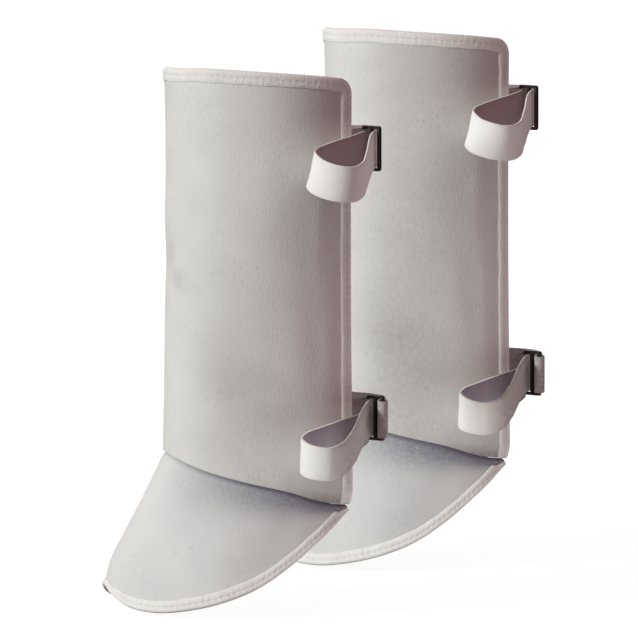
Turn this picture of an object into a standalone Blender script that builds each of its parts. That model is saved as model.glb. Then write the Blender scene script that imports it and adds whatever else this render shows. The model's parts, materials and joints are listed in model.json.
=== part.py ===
"""A pair of welding shoe covers in white split leather, shaped as worn, with no leg in them.

Metres, +Z up, toes towards -Y. The origin is the middle of the near cover's ankle.
Each cover is a shin panel, open down the back, with a foot flap lapped under its lower edge,
folded leather bindings, and two straps with three-bar slide buckles on the +X side.
"""

import math

import bpy
import numpy as np
from mathutils import Matrix

MM = 0.001

# The shin, to the panel's outer face
SHIN_HALF_WIDTH = 66.0 * MM
SHIN_HALF_DEPTH = 82.0 * MM
BACK_EDGE_ANGLE = 128.0
LEATHER = 2.0 * MM
GAP = 0.3 * MM
LEAN_INWARD = math.tan(math.radians(4.4))
LEAN_BACK = math.tan(math.radians(0.8))
TOP_CORNER_RADIUS = 10.0 * MM

# Heights of the panel's top edge and lower edge above the ankle, by the angle from the front.
# The first row mirrors the third, so that both edges are smooth across the front.
#   angle, top, seam
PANEL_EDGES = (
    (-20.0, 284.1, -3.0),
    (0.0, 285.6, 0.0),
    (20.0, 284.1, -3.0),
    (45.0, 282.9, -10.6),
    (70.0, 280.0, -18.5),
    (90.0, 277.6, -24.8),
    (110.0, 275.2, -33.3),
    (128.0, 272.8, -36.8),
    (140.0, 271.5, -38.0),
)
# The leg leans in, so the top edge lies higher on the outer side than on the inner side.
TOP_TILT = math.tan(math.radians(7.4))

# How much wider than its nominal oval the shin is, by height
#   height, share
SHIN_WIDTHS = (
    (-40.0, 1.012),
    (0.0, 1.008),
    (80.0, 0.992),
    (170.0, 0.986),
    (250.0, 0.992),
    (300.0, 0.997),
)

# Soft hollows and swellings that wear has left in the panel, outwards where depth is positive
#   angle, height, half length round, half length up, depth
PANEL_CREASES = (
    (4.0, 148.0, 22.0, 26.0, -1.3),
    (-14.0, 171.0, 26.0, 20.0, 0.8),
    (62.0, 118.0, 42.0, 60.0, 0.9),
    (-60.0, 132.0, 40.0, 64.0, 0.9),
    (34.0, 232.0, 46.0, 50.0, -0.8),
    (-46.0, 214.0, 44.0, 46.0, -0.7),
    (88.0, 58.0, 30.0, 44.0, -0.8),
    (-92.0, 70.0, 34.0, 46.0, -0.8),
)
CREASE_EDGE_MARGIN = 14.0 * MM
# The ankle bends the leather in along the seam, on both sides, deeper towards the back edges.
ANKLE_FOLD_DEPTH = 3.0 * MM
ANKLE_FOLD_ABOVE = 10.0 * MM
ANKLE_FOLD_BELOW = 26.0 * MM
ANKLE_FOLD_STARTS = 48.0
ANKLE_FOLD_FULL = 112.0

# The flap's rim: how far out it lies from the shin's oval, and its height, by angle.
# The first row mirrors the third, so that the rim is smooth across the toes.
#   angle, spread, height
FLAP_RIM = (
    (-10.0, 1.545, -105.4),
    (0.0, 1.558, -99.6),
    (10.0, 1.545, -105.4),
    (20.0, 1.495, -112.2),
    (32.0, 1.412, -114.8),
    (45.0, 1.335, -112.4),
    (60.0, 1.250, -106.0),
    (75.0, 1.165, -95.5),
    (90.0, 1.100, -79.8),
    (105.0, 1.050, -62.5),
    (115.0, 1.030, -52.0),
    (124.0, 1.019, -42.8),
    (126.5, 1.018, -40.8),
)
# The flap is cut to swell over the toes, by the share of the way from its shoulder to its rim.
#   share, swell
TOE_SWELL = (
    (0.0, 0.0),
    (0.4, 0.15),
    (0.6, 0.50),
    (0.8, 1.00),
    (1.0, 0.0),
)
TOE_SWELL_DEPTH = 3.0 * MM
TOE_SWELL_ANGLE = 24.0
FLAP_END_ANGLE = 126.0
FLAP_LAP = 8.0 * MM
FLAP_LAP_FULL_TO = 108.0
FLAP_LAP_NONE_FROM = 116.0
FLAP_TURN_DROP = 1.2 * MM
FLAP_SHOULDER_DROP = 5.0 * MM
FLAP_SHOULDER_OUT = 0.9 * MM

BINDING_LEG = 9.0 * MM
BINDING_LEATHER = 1.0 * MM
FLAP_BINDING_GAP = 0.45 * MM
BINDING_FOOT_GAP = 1.2 * MM

STRAP_WIDTH = 27.6 * MM
STRAP_LEATHER = 1.5 * MM
TAB_LEATHER = 1.5 * MM

BUCKLE_WIDTH = 26.0 * MM
BUCKLE_SLOT = 29.2 * MM
BUCKLE_END_BAR = 2.4 * MM
BUCKLE_BAR = 2.8 * MM
BUCKLE_THICKNESS = 2.0 * MM
BUCKLE_CORNER = 3.2 * MM
SLOT_CORNER = 0.8 * MM
WRAP_GAP = 0.45 * MM
# The tab's return layer, in millimetres: how far it lies from the first, and how much shorter it is
TAB_RETURN_APART = 2.3
TAB_RETURN_SHORT = 3.0

# The straps' lengthways line. Across and out are millimetres from the shin's middle line:
# across runs back along the closed side, out runs away from the near cover's inner side.
# Tilt is how far the strap's upper edge leans out, and lean is how far it leans back, in degrees.
STRAP_AXIS_TURN = 10.0
STRAP_SEWN_ANGLES = (-131.0, -124.0, -116.0)
TAB_SEWN_ANGLES = (114.0, 122.0, 130.5)
#   across, out, height, tilt, lean
UPPER_STRAP = (
    (70.0, 38.6, 228.3, 0.0, 0.0),
    (66.4, 44.4, 227.6, 4.0, 0.0),
    (59.4, 51.5, 226.0, 9.0, 0.0),
    (48.0, 61.0, 224.0, 13.0, 2.0),
    (38.0, 68.5, 221.6, 13.0, 6.0),
    (31.6, 75.0, 219.8, 11.0, 10.0),
    (29.4, 82.0, 218.0, 8.0, 12.0),
    (33.0, 90.0, 214.0, 6.0, 12.0),
    (42.0, 95.6, 210.6, 6.0, 11.0),
    (52.5, 96.4, 208.4, 6.0, 9.0),
    (62.0, 91.8, 208.2, 6.0, 6.0),
    (67.2, 84.0, 210.6, 6.0, 4.0),
    (70.0, 74.0, 216.0, 5.0, 3.0),
    (72.2, 64.0, 222.4, 4.0, 2.0),
    (74.0, 56.0, 227.0, 2.0, 0.0),
    (75.4, 50.2, 228.7, 0.0, 0.0),
    (76.9, 44.2, 228.7, 0.0, 0.0),
    (78.8, 35.5, 228.7, 0.0, 0.0),
    (80.2, 24.0, 228.4, 0.0, 0.0),
    (80.7, 8.0, 227.4, 0.0, 0.0),
    (79.6, -8.0, 226.2, 0.0, 0.0),
    (76.0, -23.0, 225.0, 0.0, 0.0),
    (69.4, -36.0, 223.8, 0.0, 0.0),
    (60.2, -45.6, 222.8, 0.0, 0.0),
)
#   across, out, height, tilt, lean
LOWER_STRAP = (
    (70.0, 34.8, 21.4, 5.0, 0.0),
    (68.4, 38.6, 20.0, 9.0, 0.0),
    (64.4, 47.0, 18.2, 14.0, 0.0),
    (57.0, 55.0, 17.0, 18.0, 0.0),
    (47.0, 63.0, 15.0, 22.0, 0.0),
    (35.0, 70.5, 11.6, 22.0, 0.0),
    (25.8, 76.0, 8.4, 19.0, 0.0),
    (21.8, 83.0, 5.4, 17.0, 2.0),
    (24.6, 90.5, 3.0, 19.0, 2.0),
    (32.4, 96.0, 1.0, 22.0, 0.0),
    (42.4, 97.2, 0.2, 24.0, 0.0),
    (52.0, 92.4, 3.0, 23.0, 0.0),
    (59.6, 81.0, 10.0, 19.0, 0.0),
    (64.6, 66.0, 18.0, 14.0, 0.0),
    (67.9, 52.6, 23.2, 9.0, 0.0),
    (70.4, 42.4, 25.4, 5.0, 0.0),
)
#   across, out, height, tilt, lean
LOWER_STRAP_BACK = (
    (84.4, 31.0, 26.6, 0.0, 0.0),
    (84.0, 16.0, 26.4, 0.0, 0.0),
    (82.2, 0.0, 25.6, 0.0, 0.0),
    (78.6, -16.0, 24.6, 0.0, 0.0),
    (72.0, -31.5, 23.6, 0.0, 0.0),
    (62.2, -43.4, 22.8, 0.0, 0.0),
)
# The strap through the lower buckle winds round the middle bar, then round the outer bar.
#   bar, first angle, last angle
LOWER_STRAP_WRAPS = (
    ("middle", 136.0, 308.0),
    ("outer", 128.0, -66.0),
)

# A buckle's middle, and its turn from the across direction towards out
#   across, out, height, turn
UPPER_BUCKLE = (74.1, 39.0, 228.7, 61.0)
LOWER_BUCKLE = (77.2, 33.0, 26.8, 64.0)

# The far cover stands beside and behind the near one, as feet do in a short step.
FAR_COVER_PLACE = (-246.0 * MM, 165.0 * MM, 0.0)

COLUMN_ANGLE = 6.0
PANEL_ROWS = 12
FLAP_ROWS = 6
STRAP_SAMPLES = 58
TAB_SAMPLES = 22
# A strap's route is traced in fine steps. A bend of one radian draws as many samples as this
# many millimetres of straight strap.
ROUTE_STEPS = 1600
BEND_WEIGHT = 14.0


def clear_scene():
    for old in list(bpy.data.objects):
        bpy.data.objects.remove(old, do_unlink=True)


def material(name, colour, roughness, metallic=0.0):
    made = bpy.data.materials.new(name)
    made.use_nodes = True
    shader = made.node_tree.nodes["Principled BSDF"]
    shader.inputs["Base Color"].default_value = (*colour, 1.0)
    shader.inputs["Roughness"].default_value = roughness
    shader.inputs["Metallic"].default_value = metallic
    made.diffuse_color = (*colour, 1.0)
    return made


def column(table, x, index):
    """The table's value in one column at x, in the table's own units, smooth between its rows."""
    rows = np.array(table)
    at, values = rows[:, 0], rows[:, index]
    slopes = np.gradient(values, at)
    x = np.clip(x, at[0], at[-1])
    i = np.clip(np.searchsorted(at, x) - 1, 0, len(at) - 2)
    width = at[i + 1] - at[i]
    t = (x - at[i]) / width
    return (
        values[i] * (1 + 2 * t) * (1 - t) ** 2
        + slopes[i] * width * t * (1 - t) ** 2
        + values[i + 1] * t * t * (3 - 2 * t)
        + slopes[i + 1] * width * t * t * (t - 1)
    )


def leaned(points):
    """Tips points of the upright shin with the leg, about the ankle."""
    points = np.array(points, float)
    height = points[..., 2].copy()
    points[..., 0] -= LEAN_INWARD * height
    points[..., 1] += LEAN_BACK * height
    return points


SHIN_UP = np.array((-LEAN_INWARD, LEAN_BACK, 1.0)) / math.hypot(1.0, LEAN_INWARD, LEAN_BACK)

# Distances round the shin's oval from the front, against the angle
OVAL_STEPS = np.radians(np.linspace(0.0, 180.0, 721))
OVAL_LENGTHS = np.concatenate(
    [
        [0.0],
        np.cumsum(
            np.hypot(
                np.diff(SHIN_HALF_WIDTH * np.sin(OVAL_STEPS)),
                np.diff(SHIN_HALF_DEPTH * np.cos(OVAL_STEPS)),
            )
        ),
    ]
)


def angle_at(distance):
    """The angle round the shin, in degrees, at a distance along its oval from the front."""
    distance = np.asarray(distance, float)
    steps = np.degrees(OVAL_STEPS)
    return np.sign(distance) * np.interp(np.abs(distance), OVAL_LENGTHS, steps)


def distance_at(angle):
    angle = np.asarray(angle, float)
    steps = np.degrees(OVAL_STEPS)
    return np.sign(angle) * np.interp(np.abs(angle), steps, OVAL_LENGTHS)


def oval(angle, out=0.0, share=1.0):
    """A point of the shin's oval at an angle in degrees, moved outwards across the face."""
    a = np.radians(angle)
    x, y = SHIN_HALF_WIDTH * np.sin(a), -SHIN_HALF_DEPTH * np.cos(a)
    nx, ny = np.sin(a) / SHIN_HALF_WIDTH, -np.cos(a) / SHIN_HALF_DEPTH
    length = np.hypot(nx, ny)
    return share * x + out * nx / length, share * y + out * ny / length


def top_height(angle):
    """The panel's top edge, with its two back corners rounded."""
    height = column(PANEL_EDGES, np.abs(angle), 1) * MM
    height = height + TOP_TILT * SHIN_HALF_WIDTH * np.sin(np.radians(angle))
    inside = distance_at(BACK_EDGE_ANGLE) - np.abs(distance_at(angle))
    short = TOP_CORNER_RADIUS - np.clip(inside, 0.0, TOP_CORNER_RADIUS)
    return height - TOP_CORNER_RADIUS + np.sqrt(TOP_CORNER_RADIUS**2 - short**2)


def seam_height(angle):
    return column(PANEL_EDGES, np.abs(angle), 2) * MM


def ankle_fold(angle, height):
    """How far the ankle has pulled the leather in, above and below the seam."""
    reach = (np.abs(angle) - ANKLE_FOLD_STARTS) / (ANKLE_FOLD_FULL - ANKLE_FOLD_STARTS)
    reach = np.clip(reach, 0.0, 1.0)
    above = height - seam_height(angle)
    room = np.where(above > 0.0, ANKLE_FOLD_ABOVE, ANKLE_FOLD_BELOW)
    near = np.clip(1.0 - np.abs(above) / room, 0.0, 1.0)
    return ANKLE_FOLD_DEPTH * reach * reach * (3 - 2 * reach) * near


def wear(angle, height):
    """How far wear has pushed the leather out. The creases fade to nothing at its edges."""
    angle, height = np.broadcast_arrays(np.asarray(angle, float), height)
    total = np.zeros(angle.shape)
    for at, up, round_length, up_length, depth in PANEL_CREASES:
        across = (distance_at(angle) - distance_at(at)) / (round_length * MM)
        along = (height - up * MM) / (up_length * MM)
        total += depth * MM * np.exp(-(across**2 + along**2))
    to_side = distance_at(BACK_EDGE_ANGLE) - np.abs(distance_at(angle))
    to_end = np.minimum(height - seam_height(angle), top_height(angle) - height)
    margin = np.clip(np.minimum(to_side, to_end) / CREASE_EDGE_MARGIN - 1.0, 0.0, 1.0)
    return total * margin - ankle_fold(angle, height)


def shin_point(angle, height, out=0.0):
    """A point of the worn shin panel, out from its outer face."""
    share = column(SHIN_WIDTHS, np.asarray(height, float) / MM, 1)
    x, y = oval(angle, out + wear(angle, height), share)
    x, y, z = np.broadcast_arrays(x, y, height)
    return leaned(np.stack([x, y, z], axis=-1))


def panel_angles():
    """The panel's columns: even round the leg, and closer in its rounded top corners."""
    corner = TOP_CORNER_RADIUS * (1 - np.cos(np.radians((0.0, 22.5, 45.0, 67.5, 90.0))))
    edge = distance_at(BACK_EDGE_ANGLE)
    half = angle_at(edge - corner[::-1])
    count = int(round(2 * half[0] / COLUMN_ANGLE))
    middle = np.linspace(-half[0], half[0], count + 1)[1:-1]
    return np.concatenate([-half[::-1], middle, half])


def finish_solid(name, points, faces, made_of, place, parts):
    mesh = bpy.data.meshes.new(name)
    mesh.from_pydata((np.asarray(points) + place).tolist(), [], faces)
    mesh.materials.append(made_of)
    mesh.shade_smooth()
    mesh.set_sharp_from_angle(angle=math.radians(40.0))
    solid = bpy.data.objects.new(name, mesh)
    parts.objects.link(solid)
    return solid


def wall(name, outer, inner, made_of, place, parts):
    """A leather wall between two grids of points, columns by rows, closed round its edges."""
    columns, rows = outer.shape[:2]
    half = columns * rows
    faces = []
    for c in range(columns - 1):
        for r in range(rows - 1):
            a, b = c * rows + r, (c + 1) * rows + r
            faces.append((a, b, b + 1, a + 1))
            faces.append((half + a, half + a + 1, half + b + 1, half + b))
    for c in range(columns - 1):
        low, next_low = c * rows, (c + 1) * rows
        high, next_high = low + rows - 1, next_low + rows - 1
        faces.append((low, half + low, half + next_low, next_low))
        faces.append((high, next_high, half + next_high, half + high))
    for r in range(rows - 1):
        last = (columns - 1) * rows + r
        faces.append((r, r + 1, half + r + 1, half + r))
        faces.append((last, half + last, half + last + 1, last + 1))
    points = np.concatenate([outer.reshape(-1, 3), inner.reshape(-1, 3)])
    return finish_solid(name, points, faces, made_of, place, parts)


def bar_through(name, sections, made_of, place, parts):
    """A solid through closed sections, each given as the same number of points in order."""
    count, size = sections.shape[:2]
    faces = [tuple(range(size))[::-1]]
    for i in range(count - 1):
        for j in range(size):
            k = (j + 1) % size
            faces.append((i * size + j, i * size + k, (i + 1) * size + k, (i + 1) * size + j))
    faces.append(tuple((count - 1) * size + j for j in range(size)))
    return finish_solid(name, sections.reshape(-1, 3), faces, made_of, place, parts)


def shin_panel(prefix, leather, place, parts):
    angles = panel_angles()[:, None]
    share = np.linspace(0.0, 1.0, PANEL_ROWS)[None, :]
    low, high = seam_height(angles), top_height(angles)
    heights = low + ANKLE_FOLD_ABOVE + (high - low - ANKLE_FOLD_ABOVE) * share
    heights = np.concatenate([low, heights], axis=1)
    outer = shin_point(angles, heights)
    inner = shin_point(angles, heights, -LEATHER)
    wall(prefix + "shin_panel", outer, inner, leather, place, parts)


def flap_rim(angle):
    """The flap's lower edge, which hangs in line with the seam above it."""
    seam = seam_height(angle)
    height = column(FLAP_RIM, np.abs(angle), 2) * MM
    x, y = oval(angle, -ankle_fold(angle, height), column(FLAP_RIM, np.abs(angle), 1))
    return np.stack([x - LEAN_INWARD * seam, y + LEAN_BACK * seam, height], axis=-1)


def flap_drop(angle, length, most):
    """A distance below the seam, kept to a share of the flap's height near its ends."""
    room = seam_height(angle) - flap_rim(angle)[..., 2]
    return np.minimum(length, most * room)


def flap_shoulder(angle):
    """Where the flap comes out from under the panel's lower edge."""
    drop = flap_drop(angle, FLAP_SHOULDER_DROP, 0.45)
    return shin_point(angle, seam_height(angle) - drop, FLAP_SHOULDER_OUT * drop / FLAP_SHOULDER_DROP)


def unit(vectors):
    return vectors / np.linalg.norm(vectors, axis=-1, keepdims=True)


def flap_angles():
    count = int(round(2 * FLAP_END_ANGLE / COLUMN_ANGLE))
    return np.linspace(-FLAP_END_ANGLE, FLAP_END_ANGLE, count + 1)


def flap_normals(angles, above):
    """Outward directions on the flap's rim, with the direction down to it from points above."""
    rim = flap_rim(angles)
    down = unit(rim - above)
    along = unit(np.gradient(rim, axis=0))
    return unit(np.cross(down, along)), down


def flap_row(angles, share):
    """The flap's outer face, a share of the way from its shoulder to its rim."""
    shoulder, rim = flap_shoulder(angles), flap_rim(angles)
    swell = TOE_SWELL_DEPTH * column(TOE_SWELL, share, 1) * np.exp(-((angles / TOE_SWELL_ANGLE) ** 2))
    return shoulder + (rim - shoulder) * share + flap_normals(angles, shoulder)[0] * swell[:, None]


def flap_hem(angles):
    """Outward directions by the flap's rim, and the direction down to it over the last row."""
    return flap_normals(angles, flap_row(angles, 1.0 - 1.0 / (FLAP_ROWS - 1)))


def foot_flap(prefix, leather, place, parts):
    angles = flap_angles()
    seam = seam_height(angles)
    lap_share = (FLAP_LAP_NONE_FROM - np.abs(angles)) / (FLAP_LAP_NONE_FROM - FLAP_LAP_FULL_TO)
    lap_share = np.clip(lap_share, 0.0, 1.0)
    top = seam + lap_share * FLAP_LAP - (1.0 - lap_share) * flap_drop(angles, 2 * GAP, 0.12)
    turn = seam - flap_drop(angles, FLAP_TURN_DROP, 0.25)
    at_seam = np.where(top > seam + GAP, seam, (top + turn) / 2)
    under = LEATHER + GAP
    normals = flap_normals(angles, flap_shoulder(angles))[0]
    rows = []
    for height in (top, at_seam, turn):
        outer = shin_point(angles, height, -under)
        rows.append((outer, shin_point(angles, height, -under - LEATHER)))
    for share in np.linspace(0.0, 1.0, FLAP_ROWS)[:-1]:
        outer = flap_row(angles, share)
        rows.append((outer, outer - normals * LEATHER))
    outer = flap_rim(angles)
    rows.append((outer, outer - flap_hem(angles)[0] * LEATHER))
    outer = np.stack([row[0] for row in rows[::-1]], axis=1)
    inner = np.stack([row[1] for row in rows[::-1]], axis=1)
    wall(prefix + "foot_flap", outer, inner, leather, place, parts)


def binding_section(leg, gap=GAP):
    """A folded strip's section: inwards from the leather's edge, and out from its outer face."""
    fold, soft = gap + BINDING_LEATHER, 0.4 * BINDING_LEATHER
    top, bottom = fold, -LEATHER - fold
    return (
        (leg, gap),
        (leg, top),
        (soft - fold + soft, top),
        (-fold, top - 2 * soft),
        (-fold, bottom + 2 * soft),
        (soft - fold + soft, bottom),
        (leg, bottom),
        (leg, -LEATHER - gap),
        (-gap, -LEATHER - gap),
        (-gap, gap),
    )


def shin_binding(prefix, leather, place, parts):
    """One folded strip up a back edge, over the top and down the other back edge."""
    angles = panel_angles()
    lowest = seam_height(BACK_EDGE_ANGLE) + BINDING_FOOT_GAP
    corner = top_height(BACK_EDGE_ANGLE)
    fold_top = seam_height(BACK_EDGE_ANGLE) + ANKLE_FOLD_ABOVE
    clear_of_fold = fold_top + BINDING_FOOT_GAP
    side = np.concatenate([[lowest, fold_top], np.linspace(clear_of_fold, corner, 8)[:-1]])
    edge = float(distance_at(BACK_EDGE_ANGLE))
    path = [(-edge, z) for z in side]
    path += list(zip(distance_at(angles), top_height(angles)))
    path += [(edge, z) for z in side[::-1]]
    path = np.array(path)
    run = np.gradient(path, axis=0)
    run = unit(run)
    inwards = np.stack([run[:, 1], -run[:, 0]], axis=-1)
    sections = []
    for inward, out in binding_section(BINDING_LEG):
        at = path + inwards * inward
        sections.append(shin_point(angle_at(at[:, 0]), at[:, 1], out))
    bar_through(prefix + "shin_binding", np.stack(sections[::-1], axis=1), leather, place, parts)


def flap_binding(prefix, leather, place, parts):
    angles = flap_angles()
    rim = flap_rim(angles)
    normals, down = flap_hem(angles)
    room = np.linalg.norm(rim - flap_shoulder(angles), axis=-1)
    leg = np.clip(room - 1.2 * MM, 0.6 * MM, BINDING_LEG)
    sections = []
    for i in range(len(angles)):
        section = binding_section(leg[i], FLAP_BINDING_GAP)
        sections.append([rim[i] - down[i] * inward + normals[i] * out for inward, out in section])
    bar_through(prefix + "flap_binding", np.array(sections), leather, place, parts)


def strap_frame(across, out, height):
    """From strap terms, in millimetres, to the cover's own frame."""
    turn = math.radians(STRAP_AXIS_TURN)
    x = across * math.sin(turn) + out * math.cos(turn)
    y = across * math.cos(turn) - out * math.sin(turn)
    return leaned(np.stack(np.broadcast_arrays(x, y, height), axis=-1) * MM)


def sewn_rows(angles, height, thickness):
    """Rows of a strap sewn inside the panel, clear of the binding's inner side."""
    inside = LEATHER + BINDING_LEATHER + 2 * GAP + thickness / 2
    share = float(column(SHIN_WIDTHS, height, 1))
    turn = math.radians(STRAP_AXIS_TURN)
    rows = []
    for angle in angles:
        x, y = oval(angle, -inside, share)
        across = (x * math.sin(turn) + y * math.cos(turn)) / MM
        out = (x * math.cos(turn) - y * math.sin(turn)) / MM
        rows.append((across, out, height, 0.0, 0.0))
    return rows


def smooth_route(rows, samples):
    """Evenly spaced rows along a smooth curve through the given ones."""
    rows = np.array(rows, float)
    chords = np.linalg.norm(np.diff(rows[:, :3], axis=0), axis=1)
    reach = np.concatenate([[0.0], np.cumsum(chords)])
    table = np.column_stack([reach, rows])
    places = np.linspace(0.0, reach[-1], ROUTE_STEPS)
    fine = np.stack([column(table, places, k) for k in range(1, table.shape[1])], axis=-1)
    step = np.linalg.norm(np.diff(fine[:, :3], axis=0), axis=1)
    heading = unit(np.diff(fine[:, :2], axis=0))
    bend = np.zeros(len(step))
    bend[1:] = np.linalg.norm(np.diff(heading, axis=0), axis=1)
    run = np.concatenate([[0.0], np.cumsum(step + BEND_WEIGHT * bend)])
    at = np.linspace(0.0, run[-1], samples)
    return np.stack([np.interp(at, run, fine[:, k]) for k in range(rows.shape[1])], axis=-1)


def ribbon(name, rows, samples, thickness, leather, place, parts):
    """A flat strap along a route, standing on edge, with its upper edge turned as the rows say."""
    route = smooth_route(rows, samples)
    centre = strap_frame(route[:, 0], route[:, 1], route[:, 2])
    along = unit(np.gradient(centre, axis=0))
    turn = math.radians(STRAP_AXIS_TURN)
    outwards = np.array((math.cos(turn), -math.sin(turn), 0.0))
    backwards = np.array((math.sin(turn), math.cos(turn), 0.0))
    tilt, lean = np.radians(route[:, 3])[:, None], np.radians(route[:, 4])[:, None]
    edge = np.cos(tilt) * SHIN_UP + np.sin(tilt) * outwards + np.sin(lean) * backwards
    edge = unit(edge - along * np.sum(along * edge, axis=1, keepdims=True))
    face = unit(np.cross(along, edge))
    corners = ((1, 1), (-1, 1), (-1, -1), (1, -1))
    half_width, half_thick = STRAP_WIDTH / 2, thickness / 2
    sections = np.stack(
        [centre + edge * (half_width * a) + face * (half_thick * b) for a, b in corners], axis=1
    )
    return bar_through(name, sections, leather, place, parts)


def buckle_directions(buckle):
    """The buckle's line from its inner bar to its outer bar, and its face's direction."""
    turn = math.radians(buckle[3])
    bars = np.array((math.cos(turn), math.sin(turn)))
    front = np.array((-math.sin(turn), math.cos(turn)))
    return bars, front


def bar_place(buckle, bar):
    """Across and out of one of the buckle's three upright bars, in millimetres."""
    step = {"inner": -1.0, "middle": 0.0, "outer": 1.0}[bar] * (BUCKLE_WIDTH - BUCKLE_BAR) / 2 / MM
    bars = buckle_directions(buckle)[0]
    return np.array((buckle[0], buckle[1])) + bars * step


def wrap_rows(buckle, bar, first, last, thickness, count):
    """Rows of a strap bent round one bar. Angles are from the outer bar's side towards the front."""
    centre = bar_place(buckle, bar)
    bars, front = buckle_directions(buckle)
    radius = (math.hypot(BUCKLE_BAR, BUCKLE_THICKNESS) / 2 + WRAP_GAP + thickness / 2) / MM
    rows = []
    for angle in np.radians(np.linspace(first, last, count)):
        x, y = centre + radius * (bars * math.cos(angle) + front * math.sin(angle))
        rows.append((x, y, buckle[2], 0.0, 0.0))
    return rows


def strap_tab_rows(buckle):
    """From inside the near back edge, round the buckle's inner bar, and back."""
    rows = sewn_rows(TAB_SEWN_ANGLES, buckle[2], TAB_LEATHER)
    start = np.array(rows[-1][:2])
    bars, front = buckle_directions(buckle)
    heading = unit(bar_place(buckle, "inner") - start)
    side = np.array((-heading[1], heading[0]))
    faced = math.degrees(math.atan2(side @ front, side @ bars))
    rows += wrap_rows(buckle, "inner", faced - 6.0, faced - 174.0, TAB_LEATHER, 7)
    back = start - side * TAB_RETURN_APART + heading * TAB_RETURN_SHORT
    rows.append((back[0], back[1], buckle[2], 0.0, 0.0))
    return rows


def rounded_outline(width, height, radius, centre, steps=3):
    points = []
    for corner, (sx, sy) in enumerate(((1, 1), (-1, 1), (-1, -1), (1, -1))):
        for k in range(steps + 1):
            angle = math.radians(90.0 * (corner + k / steps))
            x = centre + sx * (width / 2 - radius) + radius * math.cos(angle)
            y = sy * (height / 2 - radius) + radius * math.sin(angle)
            points.append((x, y))
    return points


def slide_buckle(name, buckle, plastic, place, parts):
    """A flat frame with two slots: a 2D outline with holes, given its thickness."""
    curve = bpy.data.curves.new(name, "CURVE")
    curve.dimensions = "2D"
    curve.fill_mode = "BOTH"
    curve.extrude = BUCKLE_THICKNESS / 2
    slot_width = (BUCKLE_WIDTH - 3 * BUCKLE_BAR) / 2
    slot_centre = (slot_width + BUCKLE_BAR) / 2
    tall = BUCKLE_SLOT + 2 * BUCKLE_END_BAR
    outlines = [rounded_outline(BUCKLE_WIDTH, tall, BUCKLE_CORNER, 0.0)]
    for side in (-1, 1):
        outlines.append(rounded_outline(slot_width, BUCKLE_SLOT, SLOT_CORNER, side * slot_centre))
    for outline in outlines:
        spline = curve.splines.new("POLY")
        spline.points.add(len(outline) - 1)
        for point, (x, y) in zip(spline.points, outline):
            point.co = (x, y, 0.0, 1.0)
        spline.use_cyclic_u = True
    curve.materials.append(plastic)
    solid = bpy.data.objects.new(name, curve)
    start = strap_frame(*bar_place(buckle, "inner"), buckle[2])
    end = strap_frame(*bar_place(buckle, "outer"), buckle[2])
    front = unit(np.cross(end - start, SHIN_UP))
    bars = np.cross(SHIN_UP, front)
    axes = Matrix(np.array((bars, SHIN_UP, front)).T.tolist()).to_4x4()
    centre = (start + end) / 2 + place
    solid.matrix_world = Matrix.Translation(centre.tolist()) @ axes
    parts.objects.link(solid)
    return solid


def upper_strap_rows():
    end_height = UPPER_STRAP[-1][2]
    return list(UPPER_STRAP) + sewn_rows(STRAP_SEWN_ANGLES, end_height, STRAP_LEATHER)


def lower_strap_rows():
    rows = list(LOWER_STRAP)
    for bar, first, last in LOWER_STRAP_WRAPS:
        rows += wrap_rows(LOWER_BUCKLE, bar, first, last, STRAP_LEATHER, 6)
    rows += list(LOWER_STRAP_BACK)
    return rows + sewn_rows(STRAP_SEWN_ANGLES, rows[-1][2], STRAP_LEATHER)


def cover(prefix, place, parts, leather, edging, webbing, plastic):
    place = np.array(place)
    shin_panel(prefix, leather, place, parts)
    foot_flap(prefix, leather, place, parts)
    shin_binding(prefix, edging, place, parts)
    flap_binding(prefix, edging, place, parts)
    for level, buckle, rows in (
        ("upper", UPPER_BUCKLE, upper_strap_rows()),
        ("lower", LOWER_BUCKLE, lower_strap_rows()),
    ):
        name = prefix + level
        ribbon(name + "_strap", rows, STRAP_SAMPLES, STRAP_LEATHER, webbing, place, parts)
        tab_rows = strap_tab_rows(buckle)
        ribbon(name + "_tab", tab_rows, TAB_SAMPLES, TAB_LEATHER, webbing, place, parts)
        slide_buckle(name + "_buckle", buckle, plastic, place, parts)


def main():
    clear_scene()
    parts = bpy.data.collections.new("welding_shoe_covers")
    bpy.context.scene.collection.children.link(parts)
    leather = material("split_leather", (0.68, 0.67, 0.63), 0.85)
    edging = material("leather_binding", (0.72, 0.71, 0.67), 0.75)
    webbing = material("leather_strap", (0.66, 0.64, 0.60), 0.8)
    plastic = material("black_buckle", (0.012, 0.011, 0.010), 0.4)
    for prefix, place in (("near_", (0.0, 0.0, 0.0)), ("far_", FAR_COVER_PLACE)):
        cover(prefix, place, parts, leather, edging, webbing, plastic)


main()
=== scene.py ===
# %% [markdown]
# # A pair of welding shoe covers
# A welder straps these leather covers over the boots, so that sparks roll off the shins and the
# toes. Each one is a panel wrapped round the shin, a flap over the foot, a folded binding on
# every edge, and two straps with slide buckles that close it behind the leg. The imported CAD
# solids give the places and the sizes. Here each piece becomes a real sheet of leather.

# %% Load the frame
import json
import math

import bpy
import numpy as np
from mathutils import Matrix, Vector

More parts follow.
